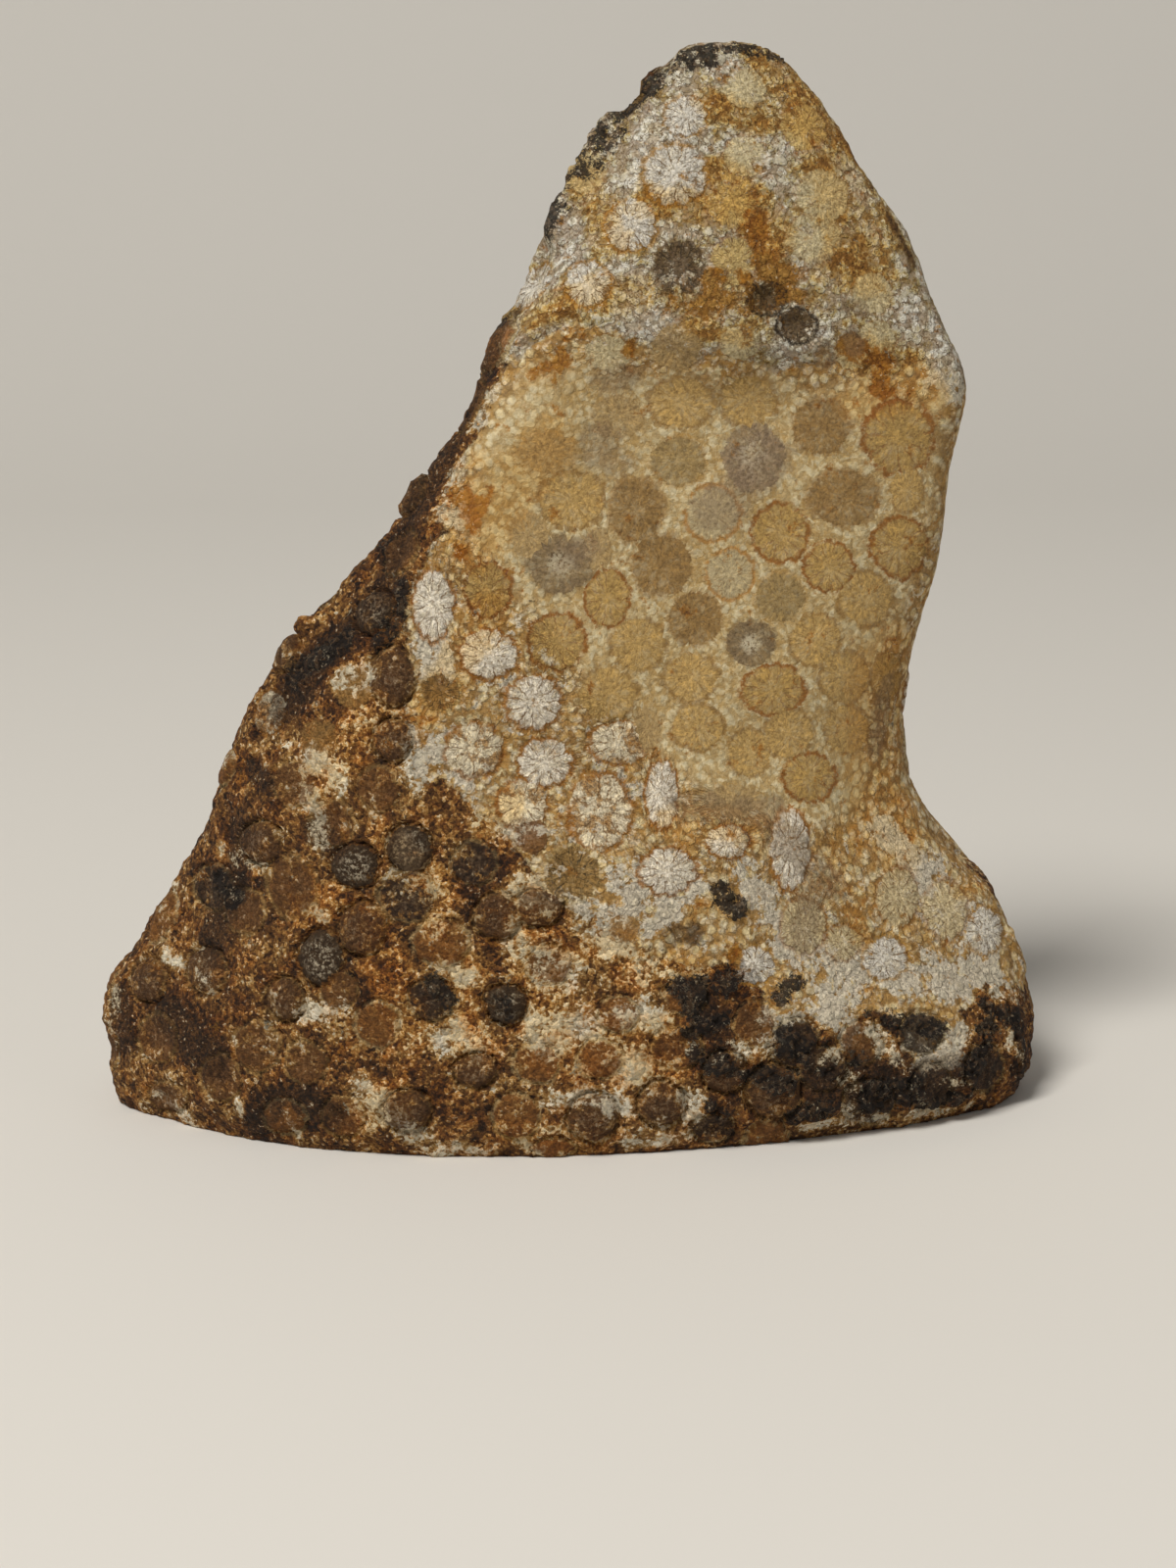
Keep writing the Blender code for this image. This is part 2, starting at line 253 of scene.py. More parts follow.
PALE_PATCHES = (
    (16, ((530, 905), (560, 912))), (17, ((524, 962), (575, 998))), (15, ((545, 1045), (560, 1070))),
    (9, ((468, 1046), (490, 1075))), (16, ((680, 925), (704, 905))), (9, ((462, 990), (480, 1000))),
    (10, ((745, 1056), (760, 1080))), (12, ((890, 1050), (905, 1072))), (8, ((310, 925), (330, 935))),
    (6, ((776, 1071), (784, 1049), (796, 1040), (827, 1040), (858, 1035), (871, 1058), (858, 1075))),
    (9, ((860, 1090), (870, 1110), (862, 1142))), (10, ((929, 1060), (950, 1090), (975, 1062))),
    (8, ((905, 1075), (925, 1090))), (9, ((700, 1120), (712, 1140))), (8, ((960, 1100), (985, 1108))),
    (8, ((1010, 1015), (1036, 1020))), (8, ((1030, 1060), (1040, 1080))), (7, ((640, 1166), (700, 1160))),
    (7, ((820, 1150), (900, 1142))), (6, ((930, 1138), (990, 1130))), (7, ((530, 1168), (550, 1174))),
    (26, ((930, 905), (1000, 950))), (13, ((850, 985), (980, 1000))), (20, ((800, 960), (930, 1000))),
    (14, ((764, 890), (784, 940))), (20, ((900, 850), (960, 900))), (9, ((236, 770), (210, 840))),
    (9, ((188, 880), (178, 905))), (12, ((228, 868), (268, 884))), (20, ((672, 120), (636, 190))),
    (22, ((700, 100), (690, 150))), (20, ((590, 240), (545, 300))), (18, ((635, 275), (660, 320))),
    (20, ((940, 320), (975, 390))), (14, ((640, 326), (690, 336))), (16, ((755, 150), (790, 155))),
    (13, ((800, 350), (835, 345))), (16, ((870, 180), (880, 220))), (16, ((440, 600), (445, 690))),
    (16, ((470, 480), (462, 520))), (10, ((482, 436), (492, 430))), (16, ((425, 760), (480, 786))),
    (22, ((640, 900), (650, 940))), (18, ((625, 960), (600, 930))), (18, ((560, 990), (580, 995))),
    (16, ((575, 1052), (600, 1048))), (10, ((450, 1058), (452, 1072))), (13, ((560, 1122), (578, 1126))),
    (14, ((640, 1094), (650, 1088))), (11, ((596, 1118), (636, 1132))), (11, ((782, 1040), (780, 1074))),
    (16, ((640, 1036), (665, 1040))), (9, ((836, 1082), (858, 1074))), (11, ((864, 1100), (868, 1108))),
    (22, ((850, 1020), (870, 1000))), (16, ((845, 1030), (870, 1056))), (24, ((960, 1000), (1010, 985))),
    (16, ((960, 1078), (985, 1060))), (7, ((715, 1120), (705, 1140))), (9, ((170, 975), (190, 985))),
    (9, ((200, 965), (212, 1010))), (12, ((118, 1010), (114, 1050))), (6, ((236, 1060), (246, 1140))),
    (5, ((290, 1126), (304, 1160))), (8, ((160, 1118), (205, 1150))), (16, ((370, 1110), (440, 1170))),
    (12, ((350, 1030), (310, 1035))), (10, ((440, 1172), (500, 1176))), (14, ((318, 772), (348, 800))),
    (14, ((350, 690), (372, 694))), (10, ((315, 810), (326, 860))), (10, ((420, 760), (424, 800))),
    (14, ((515, 850), (535, 845))),
)
OCHRE_PATCHES = (
    (20, ((735, 292), (770, 312))), (12, ((466, 500), (480, 522))), (12, ((860, 352), (900, 372))),
    (17, ((768, 228), (784, 262), (800, 290))), (15, ((684, 306), (724, 314))),
    (8, ((812, 300), (828, 308))), (13, ((555, 385), (566, 376))), (6, ((640, 362), (645, 350))),
    (10, ((895, 385), (905, 398))), (9, ((590, 340), (560, 372))), (8, ((740, 985), (752, 968))),
    (9, ((480, 540), (500, 505))), (9, ((470, 560), (468, 585))),
)
# Honey-coloured stain patches. The first and the eighth, on the right flank and the dish's lower right, are
# also painted shade there.
GOLD_AND_SHADE_PATCHES = (
    (50, ((905, 680), (893, 780), (905, 850))), (30, ((540, 920), (560, 1070))),
    (24, ((470, 990), (480, 1070))), (20, ((310, 930), (350, 920))),
    (38, ((800, 70), (846, 150), (880, 270))), (26, ((880, 365), (930, 380))),
    (20, ((480, 480), (470, 530))), (24, ((880, 800), (925, 860))),
    (16, ((390, 850), (450, 900), (445, 940))), (26, ((320, 800), (380, 730))),
    (22, ((600, 180), (625, 245))), (20, ((660, 205), (730, 215))), (24, ((740, 180), (790, 240))),
    (18, ((720, 100), (770, 125))), (24, ((820, 80), (860, 150))), (20, ((600, 300), (650, 300))),
    (22, ((545, 320), (580, 305))), (11, ((860, 240), (835, 280))), (30, ((560, 450), (480, 560))),
    (22, ((500, 620), (440, 720))), (24, ((690, 840), (770, 845))), (13, ((850, 870), (880, 960))),
    (9, ((975, 912), (1000, 905))), (24, ((600, 1080), (680, 1090))), (24, ((380, 950), (420, 1050))),
    (22, ((640, 990), (700, 990))), (24, ((400, 1120), (360, 1150))), (22, ((520, 1160), (600, 1165))),
    (18, ((500, 840), (520, 820))), (20, ((620, 1060), (680, 1050))), (22, ((870, 410), (950, 400))),
    (10, ((700, 330), (760, 345))), (16, ((560, 980), (640, 960))),
)
# Ash-brown patches. The first, on the right flank, is also painted shade there.
GREY_AND_SHADE_PATCHES = (
    (16, ((905, 700), (895, 760))), (20, ((790, 850), (850, 900))), (12, ((833, 352), (842, 368))),
    (10, ((868, 340), (872, 356))), (10, ((866, 312), (880, 318))), (9, ((845, 262), (835, 272))),
    (16, ((610, 390), (640, 384))), (22, ((610, 455), (632, 470))), (24, ((730, 520), (790, 470))),
    (14, ((600, 560), (570, 575))), (16, ((830, 910), (815, 960))), (13, ((412, 860), (418, 880))),
    (18, ((700, 825), (790, 828))),
)
FIBROUS_PATCHES = (
    (14, ((590, 770), (600, 850))), (14, ((645, 790), (650, 860))), (20, ((700, 815), (790, 845))),
    (22, ((840, 890), (870, 950))), (14, ((745, 890), (775, 900))), (12, ((575, 850), (590, 862))),
)

# Painted amounts, from 0 to 1: the attribute that holds them, then what its three channels are.
PAINTED = {
    "zone": ("worn", "cream", "knob"),
    "patch": ("black", "dark", "pale"),
    "tint": ("ochre", "gold", "grey"),
    "form": ("fibrous", "front", "raised"),
    "fill": ("core", "stain", "dust"),
}

# Ledges and steps: height in millimetres (a groove is less than 0), half-width, then the line.
FORMS = (
    (0.3, 20, ((600, 316), (690, 332), (800, 346), (900, 350))),
    (0.2, 16, ((640, 372), (700, 384), (800, 392), (900, 398))),
    (-0.9, 5, ((523, 372), (532, 352), (560, 338), (582, 326))),
    (0.4, 14, ((700, 838), (760, 846), (830, 842))),
    (-0.4, 12, ((690, 815), (760, 825), (835, 818))),
    (2.0, 14, ((626, 132), (610, 156), (600, 178))),
    (1.7, 13, ((592, 192), (576, 218), (570, 236))),
    (-1.2, 12, ((552, 262), (546, 285))),
    (-0.8, 12, ((650, 88), (680, 62))),
    (-0.9, 12, ((955, 848), (985, 872))),
    (0.9, 10, ((1030, 955), (1040, 985))),
    (1.4, 8, ((516, 306), (503, 330))),
    (1.4, 10, ((378, 560), (345, 595), (310, 640))),
    (0.6, 12, ((500, 400), (440, 490), (400, 530))),
    (1.0, 12, ((236, 700), (215, 820), (200, 850))),
    (1.2, 9, ((968, 302), (976, 325))),
    (0.8, 10, ((600, 135), (640, 100), (690, 75))),
    (0.5, 12, ((700, 60), (760, 50), (800, 70))),
)


# ---------------------------------------------------------------------------------------------
# Small tools


# Short names for the kinds of node that are used most, each with its settings.
KINDS = {
    "noise": ("ShaderNodeTexNoise", {}),
    "cells": ("ShaderNodeTexVoronoi", {}),
    "painted": ("ShaderNodeAttribute", {}),
    "split": ("ShaderNodeSeparateXYZ", {}),
    "join": ("ShaderNodeCombineXYZ", {}),
    "smooth": ("ShaderNodeMapRange", {"interpolation_type": "SMOOTHSTEP"}),
    "blend": ("ShaderNodeMix", {"data_type": "RGBA"}),
    "shade": ("ShaderNodeMix", {"data_type": "RGBA", "blend_type": "MULTIPLY"}),
    "choose": ("ShaderNodeMix", {"data_type": "FLOAT"}),
    "plus": ("ShaderNodeMath", {"operation": "ADD"}),
    "minus": ("ShaderNodeMath", {"operation": "SUBTRACT"}),
    "share_plus": ("ShaderNodeMath", {"operation": "MULTIPLY_ADD"}),
    "times": ("ShaderNodeMath", {"operation": "MULTIPLY"}),
    "over": ("ShaderNodeMath", {"operation": "DIVIDE"}),
    "power": ("ShaderNodeMath", {"operation": "POWER"}),
    "least": ("ShaderNodeMath", {"operation": "MINIMUM"}),
    "most": ("ShaderNodeMath", {"operation": "MAXIMUM"}),
    "size": ("ShaderNodeMath", {"operation": "ABSOLUTE"}),
    "part": ("ShaderNodeMath", {"operation": "FRACT"}),
    "cosine": ("ShaderNodeMath", {"operation": "COSINE"}),
    "angle": ("ShaderNodeMath", {"operation": "ARCTAN2"}),
    "plus_vector": ("ShaderNodeVectorMath", {"operation": "ADD"}),
    "minus_vector": ("ShaderNodeVectorMath", {"operation": "SUBTRACT"}),
    "scaled": ("ShaderNodeVectorMath", {"operation": "SCALE"}),
    "direction": ("ShaderNodeVectorMath", {"operation": "NORMALIZE"}),
    "length": ("ShaderNodeVectorMath", {"operation": "LENGTH"}),
    "dot": ("ShaderNodeVectorMath", {"operation": "DOT_PRODUCT"}),
    "stored": ("GeometryNodeInputNamedAttribute", {"data_type": "FLOAT_VECTOR"}),
    "store": ("GeometryNodeStoreNamedAttribute", {"data_type": "FLOAT_VECTOR"}),
}


def add(tree, kind, *values, named=None, **settings):
    """Adds a node. Values fill its open sockets in order or by name; a node stands for its output."""
    type_name, usual = KINDS.get(kind, (kind, {}))
    node = tree.nodes.new(type_name)
    for name, setting in {**usual, **settings}.items():
        setattr(node, name, setting)
    sockets = [socket for socket in node.inputs if socket.enabled]
    by_name = {socket.name: socket for socket in sockets}
    pairs = list(zip(sockets, values)) + [(by_name[name], value) for name, value in (named or {}).items()]
    for socket, value in pairs:
        if isinstance(value, bpy.types.Node):
            value = next(out for out in value.outputs if out.enabled)
        if isinstance(value, bpy.types.NodeSocket):
            tree.links.new(value, socket)
        elif socket.type == "RGBA":
            socket.default_value = (*(linear(value) if isinstance(value, str) else value)[:3], 1.0)
        elif value is not None:
            socket.default_value = value
    return node


def smooth_step(low, high, values):
    share = np.clip((values - low) / (high - low), 0, 1)
    return share * share * (3 - 2 * share)


def vertex_array(mesh, name="co"):
    values = np.empty(len(mesh.vertices) * 3)
    mesh.vertices.foreach_get(name, values)
    return values.reshape(-1, 3)


def keep(mesh, name, kind, values, domain="POINT"):
    """Stores one value for each vertex, or each face, under that name."""
    layer = mesh.attributes.new(name, kind, domain)
    field = "vector" if kind == "FLOAT_VECTOR" else "value"
    number = np.int32 if kind == "INT" else np.float32
    layer.data.foreach_set(field, np.asarray(values, number).ravel())


def evaluated_mesh(thing):
    """A plain mesh of the object as its modifiers make it."""
    graph = bpy.context.evaluated_depsgraph_get()
    return bpy.data.meshes.new_from_object(thing.evaluated_get(graph), depsgraph=graph)


def new_object(name, mesh):
    thing = bpy.data.objects.new(name, mesh)
    bpy.context.scene.collection.objects.link(thing)
    return thing


def geometry_tree(name, inputs):
    """An empty tree from mesh to mesh with those named inputs, and the node that gives them."""
    tree = bpy.data.node_groups.new(name, "GeometryNodeTree")
    tree.interface.new_socket("Geometry", in_out="INPUT", socket_type="NodeSocketGeometry")
    for label, kind in inputs.items():
        tree.interface.new_socket(label, in_out="INPUT", socket_type="NodeSocket" + kind)
    tree.interface.new_socket("Geometry", in_out="OUTPUT", socket_type="NodeSocketGeometry")
    return tree, add(tree, "NodeGroupInput")


def use_tree(thing, tree, values):
    """Gives the object a modifier that runs the tree with those input values."""
    modifier = thing.modifiers.new(tree.name, "NODES")
    modifier.node_group = tree
    for item in tree.interface.items_tree:
        if item.in_out == "INPUT" and item.name in values:
            modifier[item.identifier] = values[item.name]


# ---------------------------------------------------------------------------------------------
# The smooth stone, and what is painted on it


def smooth_stone(cell):
    """A fine even mesh of the stone's overall shape, still flat underneath."""
    # The loose triangles are merged and joined to quads where they can be, so they subdivide evenly.
    shape = bmesh.new()
    shape.from_mesh(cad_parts[NODE].data)
    bmesh.ops.remove_doubles(shape, verts=shape.verts, dist=0.01 * MM)
    bmesh.ops.join_triangles(
        shape, faces=shape.faces, angle_face_threshold=radians(40), angle_shape_threshold=radians(60)
    )
    # The rim of the sawn base stays sharp.
    crease = shape.edges.layers.float.new("crease_edge")
    for edge in shape.edges:
        if all(vert.co.z < 0.05 * MM for vert in edge.verts):
            edge[crease] = 1.0
    mesh = bpy.data.meshes.new("smooth_stone")
    shape.to_mesh(mesh)
    shape.free()
    stone = new_object("smooth_stone", mesh)
    finer = stone.modifiers.new("finer", "SUBSURF")
    finer.levels = finer.render_levels = 2
    even = stone.modifiers.new("even", "REMESH")
    even.mode = "VOXEL"
    even.voxel_size = cell
    softer = stone.modifiers.new("softer", "SMOOTH")
    softer.factor = 0.5
    softer.iterations = 4
    even_mesh = evaluated_mesh(stone)
    bpy.data.objects.remove(stone)
    return even_mesh


def inside(places, outline, softness):
    """1 well inside the outline, 0 well outside, and a soft edge that wide between, in the view."""
    outline = np.array(outline, float)
    crossings = np.zeros(len(places), int)
    nearest = np.full(len(places), np.inf)
    for start, end in zip(outline, np.roll(outline, -1, axis=0)):
        side = end - start
        share = np.clip(((places - start) @ side) / (side @ side), 0, 1)
        gap = places - start - share[:, None] * side
        nearest = np.minimum(nearest, np.hypot(gap[:, 0], gap[:, 1]))
        between = (start[1] > places[:, 1]) != (end[1] > places[:, 1])
        rise = side[1] if side[1] else 1e-9
        crossing = start[0] + (places[:, 1] - start[1]) * side[0] / rise
        crossings += between & (places[:, 0] < crossing)
    signed = np.where(crossings % 2 == 1, nearest, -nearest)
    return smooth_step(-softness, softness, signed)


class Stone:
    """The smooth stone with its surface ready for rays, and its points as arrays."""

    def __init__(self, mesh):
        self.mesh = mesh
        self.points = vertex_array(mesh)
        self.normals = vertex_array(mesh, "normal")
        faces = [tuple(face.vertices) for face in mesh.polygons]
        self.tree = BVHTree.FromPolygons([Vector(point) for point in self.points], faces)
        away = np.array(CAMERA_PLACE) - self.points
        away /= np.linalg.norm(away, axis=1)[:, None]
        self.facing = (away * self.normals).sum(axis=1)
        self.places = view_places(self.points)

    def under(self, across, down):
        """The stone's point and normal at a place of the view, or the nearest ones past its edge."""
        ray = view_ray(across, down)
        hit, normal, _, _ = self.tree.ray_cast(CAMERA_PLACE, ray)
        if hit is None:
            middle = CAMERA_PLACE + ray * CAMERA_PLACE.length
            hit, normal, _, _ = self.tree.find_nearest(middle)
        return hit, normal

    def near(self, patches):
        """The most that any patch covers each point: 1 along its line, a half at its half-width."""
        cover = np.zeros(len(self.points))
        for half_width, line in patches:
            reach = half_width * PIXEL * MM
            route = [np.array(self.under(*place)[0]) for place in line]
            for start, end in zip(route, route[1:]):
                side = end - start
                share = np.clip(((self.points - start) @ side) / (side @ side), 0, 1)
                gap = np.linalg.norm(self.points - start - share[:, None] * side, axis=1)
                cover = np.maximum(cover, smooth_step(1.6, 0.4, gap / reach))
        return cover


def paint(stone):
    """Stores how much of each zone, patch and stain each point has, and the ledges."""
    # The front's zones reach round the sides and end there in a wavy line.
    x, y, height = stone.points.T / MM
    wave = 10 * np.sin(x / 9) + 7 * np.sin(y / 5 + height / 14)
    front = smooth_step(-0.55, -0.05, stone.facing + 0.012 * wave)
    worn, cream, knob = (inside(stone.places, outline, soft) * front for outline, soft in ZONES)
    # Behind, the knob's pale crust fades out between 150 and 96 mm above the base.
    knob += smooth_step(96, 150, height + wave) * 0.8 * (1 - front)
    keep(stone.mesh, "zone", "FLOAT_VECTOR", np.column_stack([worn, cream, knob]))
    patches = [stone.near(lines) for lines in (BLACK_PATCHES, DARK_PATCHES, PALE_PATCHES)]
    keep(stone.mesh, "patch", "FLOAT_VECTOR", np.column_stack(patches))
    tints = [stone.near(lines) for lines in (OCHRE_PATCHES, GOLD_AND_SHADE_PATCHES, GREY_AND_SHADE_PATCHES)]
    keep(stone.mesh, "tint", "FLOAT_VECTOR", np.column_stack(tints))
    # The relief fills in the last channel, the height that each point is raised by.
    form = [stone.near(FIBROUS_PATCHES), front, np.zeros(len(front))]
    keep(stone.mesh, "form", "FLOAT_VECTOR", np.column_stack(form))
    push = np.zeros(len(stone.points))
    for rise, half_width, line in FORMS:
        push += rise * stone.near(((half_width, line),))
    keep(stone.mesh, "push", "FLOAT", push)
    # No cups are scattered on the sawn base, or where the front's own cups stand close together.
    underside = smooth_step(0.6, 0.9, -stone.normals[:, 2]) * (height < 1.0)
    placed_here = np.maximum(worn, cream) * (stone.facing > -0.05)
    keep(stone.mesh, "bare", "FLOAT", np.maximum(underside, placed_here))


# ---------------------------------------------------------------------------------------------
# Cups: those of the front one by one, the rest scattered

MOST_POINTS = 60000.0  # to the square metre, before those nearer than the spacing are dropped


def scatter_tree():
    """Points spread evenly over the faces that are free for cups, each with its face's normal."""
    inputs = {"Spacing": "Float", "Seed": "Int", "Placed": "Object"}
    tree, start = geometry_tree("scattered cups", inputs)
    node = partial(add, tree)
    spacing = start.outputs["Spacing"]
    bare = node("stored", "bare", data_type="FLOAT")
    free = node("FunctionNodeCompare", bare, 0.5, data_type="FLOAT", operation="LESS_THAN")
    spread = node(
        "GeometryNodeDistributePointsOnFaces",
        start.outputs["Geometry"],
        free,
        distribute_method="POISSON",
        named={"Distance Min": spacing, "Density Max": MOST_POINTS, "Seed": start.outputs["Seed"]},
    )
    placed = node("GeometryNodeObjectInfo", start.outputs["Placed"]).outputs["Geometry"]
    near = node("GeometryNodeProximity", placed, target_element="POINTS").outputs["Distance"]
    close = node("FunctionNodeCompare", near, spacing, data_type="FLOAT", operation="LESS_THAN")
    kept = node("GeometryNodeDeleteGeometry", spread.outputs["Points"], close)
    stored = node("store", kept, named={"Name": "facing", "Value": spread.outputs["Normal"]})
    points = node("GeometryNodePointsToVertices", stored)
    node("NodeGroupOutput", points)
    return tree


def placed_cups(stone):
    """The front's cups. Each is measured in the view's plane, so it shows as wide and as high there."""
    turn = camera_turn().to_3x3()
    right, up = turn.col[0], turn.col[1]
    cups = []
    for across, down, width, height, look in CUPS:
        place, _ = stone.under(across, down)
        span = (place - CAMERA_PLACE).length / VIEW_FOCAL
        cups.append((place, right / (width / 2 * span), up / (height / 2 * span), look))
    return cups


# What the scattered cups may be filled with: in the rust, then in each zone.
RUST_LOOKS = ("plug", "cast", "cast", "dark", "rusty", "buried", "dusty", "rusty", "cast", "piebald")
ZONE_LOOKS = (
    ("tan", "faint", "olive", "orange"),
    ("white", "fan", "piebald", "crusted"),
    ("crusted", "pale", "rosette", "well", "pale", "fan"),
)
SIZES = (0.76, 1.08)  # share of the usual width that a scattered cup may have
SQUEEZES = (0.8, 1.0)  # share of its width that its height may have
ZONE_LIMIT = 0.45  # how much of a zone a place needs for its cup to be one of that zone's


def scattered_cups(stone, placed, spacing, width, seed):
    """Cups for the rest of the stone, each on the surface with its own turn, size and filling."""
    marks = bpy.data.meshes.new("placed_cups")
    marks.from_pydata([cup[0] for cup in placed], [], [])
    marker = new_object("placed_cups", marks)
    carrier = new_object("cup_carrier", stone.mesh.copy())
    use_tree(carrier, scatter_tree(), {"Spacing": spacing, "Seed": seed, "Placed": marker})
    found = evaluated_mesh(carrier)
    normals = np.empty(len(found.vertices) * 3)
    found.attributes["facing"].data.foreach_get("vector", normals)
    chance = np.random.default_rng(seed)
    cups = []
    for vert, normal, zone in zip(found.vertices, normals.reshape(-1, 3), found.attributes["zone"].data):
        normal = Vector(normal)
        side = normal.cross(Vector(chance.normal(size=3))).normalized()
        half = width / 2 * chance.uniform(*SIZES)
        squeeze = chance.uniform(*SQUEEZES)
        names = RUST_LOOKS
        for amount, zone_names in zip(zone.vector, ZONE_LOOKS):
            names = zone_names if amount > ZONE_LIMIT else names
        look = names[int(chance.integers(len(names)))]
        cups.append((vert.co.copy(), side / half, normal.cross(side) / (half * squeeze), look))
    for thing in (marker, carrier):
        bpy.data.objects.remove(thing)
    return cups


# The amounts of a cup's look: the attribute that holds them, then what its three channels are.
CUP_AMOUNTS = {
    "marks": ("lines", "edge", "lobes"),
    "fill": ("core", "stain", "dust"),
    "shape": ("rise", "moat", "lobes"),
}


def cup_points(cups, seed):
    """One point for each cup, which carries everything that its pattern and relief need."""
    mesh = bpy.data.meshes.new("cups")
    mesh.from_pydata([cup[0] for cup in cups], [], [])
    chance = np.random.default_rng(seed + 1)
    looks = [LOOKS[cup[3]] for cup in cups]
    keep(mesh, "across", "FLOAT_VECTOR", [cup[1] for cup in cups])
    keep(mesh, "along", "FLOAT_VECTOR", [cup[2] for cup in cups])
    keep(mesh, "own", "FLOAT", chance.uniform(0, 1, len(cups)))
    for part in ("disc", "line", "ring"):
        keep(mesh, part, "FLOAT_VECTOR", [linear(look[part]) for look in looks])
    for name, parts in CUP_AMOUNTS.items():
        keep(mesh, name, "FLOAT_VECTOR", [[look.get(part, 0.0) for part in parts] for look in looks])
    return new_object("cups", mesh)


# ---------------------------------------------------------------------------------------------
# Relief and marks, by Geometry Nodes

CHOICES = 5  # how many near cups are tried for each place
LOBES = 12.0  # scallops round a cup's edge
DEEPEST, HIGHEST = -1.7, 2.6  # millimetres, the most that the relief sinks in or stands out


def own_cups(places, cups):
    """For each place the number of the cup that it lies deepest in, out of the nearest few."""
    middles = np.array([cup[0] for cup in cups])
    across = np.array([cup[1] for cup in cups])
    along = np.array([cup[2] for cup in cups])
    finder = KDTree(len(cups))
    for number, middle in enumerate(middles):
        finder.insert(middle, number)
    finder.balance()
    near = np.array([[found[1] for found in finder.find_n(place, CHOICES)] for place in places])
    offset = places[:, None, :] - middles[near]
    u = (offset * across[near]).sum(axis=2)
    v = (offset * along[near]).sum(axis=2)
    depth = ((offset * np.cross(across, along)[near]).sum(axis=2)) / np.linalg.norm(along[near], axis=2)
    best = np.argmin(u * u + v * v + depth * depth, axis=1)
    return near[np.arange(len(near)), best]


def cup_place(node, across, along, own):
    """The distance from a cup's middle, 1 at its uneven edge, and the direction from its middle."""
    # Noise round the ring makes the edge uneven by up to a fifth, differently for each cup.
    pair = node("join", across, along)
    heading = node("direction", pair)
    ring_place = node("plus_vector", heading, node("join", 0.0, 0.0, node("times", own, 40.0)))
    uneven = node("noise", ring_place, named={"Scale": 1.6, "Detail": 3.0, "Roughness": 0.6})
    uneven = node("times", node("minus", uneven.outputs[0], 0.5), 0.42)
    radius = node("times", node("length", pair).outputs["Value"], node("plus", uneven, 1.0))
    return radius, heading


def cup_reader(node, cups):
    """Nodes that read the values of each place's own cup, and the place within it."""
    index = node("stored", "own_cup", data_type="INT")

    def value(name, kind="FLOAT_VECTOR"):
        stored = node("stored", name, data_type=kind)
        return node("GeometryNodeSampleIndex", cups, stored, index, data_type=kind)

    here = node("GeometryNodeInputPosition")
    middle = node("GeometryNodeSampleIndex", cups, here, index, data_type="FLOAT_VECTOR")
    offset = node("minus_vector", here, middle)
    across = node("dot", offset, value("across")).outputs["Value"]
    along = node("dot", offset, value("along")).outputs["Value"]
    return value, across, along


def cup_relief(node, cups):
    """Height in millimetres of the filled or hollow cups, of the grooves round them and their lobes."""
    value, across, along = cup_reader(node, cups)
    radius, _ = cup_place(node, across, along, value("own", "FLOAT"))
    rise, moat, lobes = node("split", value("shape")).outputs
    inner = node("smooth", radius, 0.55, 1.02, 1.0, 0.0)
    crown = node("smooth", radius, 0.0, 1.0, 1.0, 0.45)
    filling = node("times", node("times", inner, crown), rise)
    ditch = node("smooth", node("size", node("minus", radius, 1.04)), 0.0, 0.16, -1.0, 0.0)
    waves = node("cosine", node("times", node("angle", along, across), LOBES))
    near_edge = node("smooth", node("size", node("minus", radius, 0.8)), 0.0, 0.35, 0.12, 0.0)
    waves = node("times", node("times", waves, near_edge), lobes)
    return node("plus", node("plus", filling, node("times", ditch, moat)), waves)


def grain_relief(node, here):
    """Height in millimetres of the lumps and grains: broad swells, 2 mm lumps and round beads."""
    worn, cream, knob = node("split", node("stored", "zone")).outputs
    black, dark, pale = node("split", node("stored", "patch")).outputs
    rough = node("choose", worn, node("choose", knob, node("choose", cream, 1.0, 0.38), 0.5), 0.06)
    broad = node("noise", here, named={"Scale": 170.0, "Detail": 1.5, "Roughness": 0.5}).outputs[0]
    lump = node("noise", here, named={"Scale": 480.0, "Detail": 4.0, "Roughness": 0.62}).outputs[0]
    beads = node("cells", here, named={"Scale": 720.0}, feature="F1").outputs["Distance"]
    grain = node("times", node("minus", broad, 0.5), 2.6)
    grain = node("plus", grain, node("times", node("minus", lump, 0.5), 2.0))
    grain = node("plus", grain, node("times", node("minus", 0.45, beads), 0.7))
    crust = node("times", black, node("smooth", lump, 0.44, 0.54, 0.0, 1.0))
    return node("plus", node("times", grain, rough), node("times", crust, node("minus", 1.0, worn)))


def relief_tree():
    """Moves the stone's surface along its normal: filled or hollow cups, lobes, grains and ledges."""
    inputs = {"Cups": "Object", "Cup Relief": "Float", "Grain Relief": "Float"}
    tree, start = geometry_tree("coral relief", inputs)
    node = partial(add, tree)
    here = node("GeometryNodeInputPosition")
    cups = node("GeometryNodeObjectInfo", start.outputs["Cups"]).outputs["Geometry"]
    cup_height = node("times", cup_relief(node, cups), start.outputs["Cup Relief"])
    grain_height = node("times", grain_relief(node, here), start.outputs["Grain Relief"])
    total = node("plus", node("plus", cup_height, grain_height), node("stored", "push", data_type="FLOAT"))
    total = node("least", node("most", total, DEEPEST), HIGHEST)

    # The sawn base stays flat.
    normal = node("GeometryNodeInputNormal")
    downness = node("times", node("split", normal).outputs["Z"], -1.0)
    sides = node("smooth", downness, 0.75, 0.97, 1.0, 0.0)
    move = node("times", node("times", total, sides), MM)
    offset = node("scaled", normal, named={"Scale": move})
    moved = node("GeometryNodeSetPosition", start.outputs["Geometry"], named={"Offset": offset})
    fibrous, front, _ = node("split", node("stored", "form")).outputs
    form = node("store", moved, named={"Name": "form", "Value": node("join", fibrous, front, total)})
    x, y, z = node("split", here).outputs
    on_base = node("join", x, y, node("most", z, 0.0))
    level = node("GeometryNodeSetPosition", form, named={"Position": on_base})
    node("NodeGroupOutput", level)
    return tree


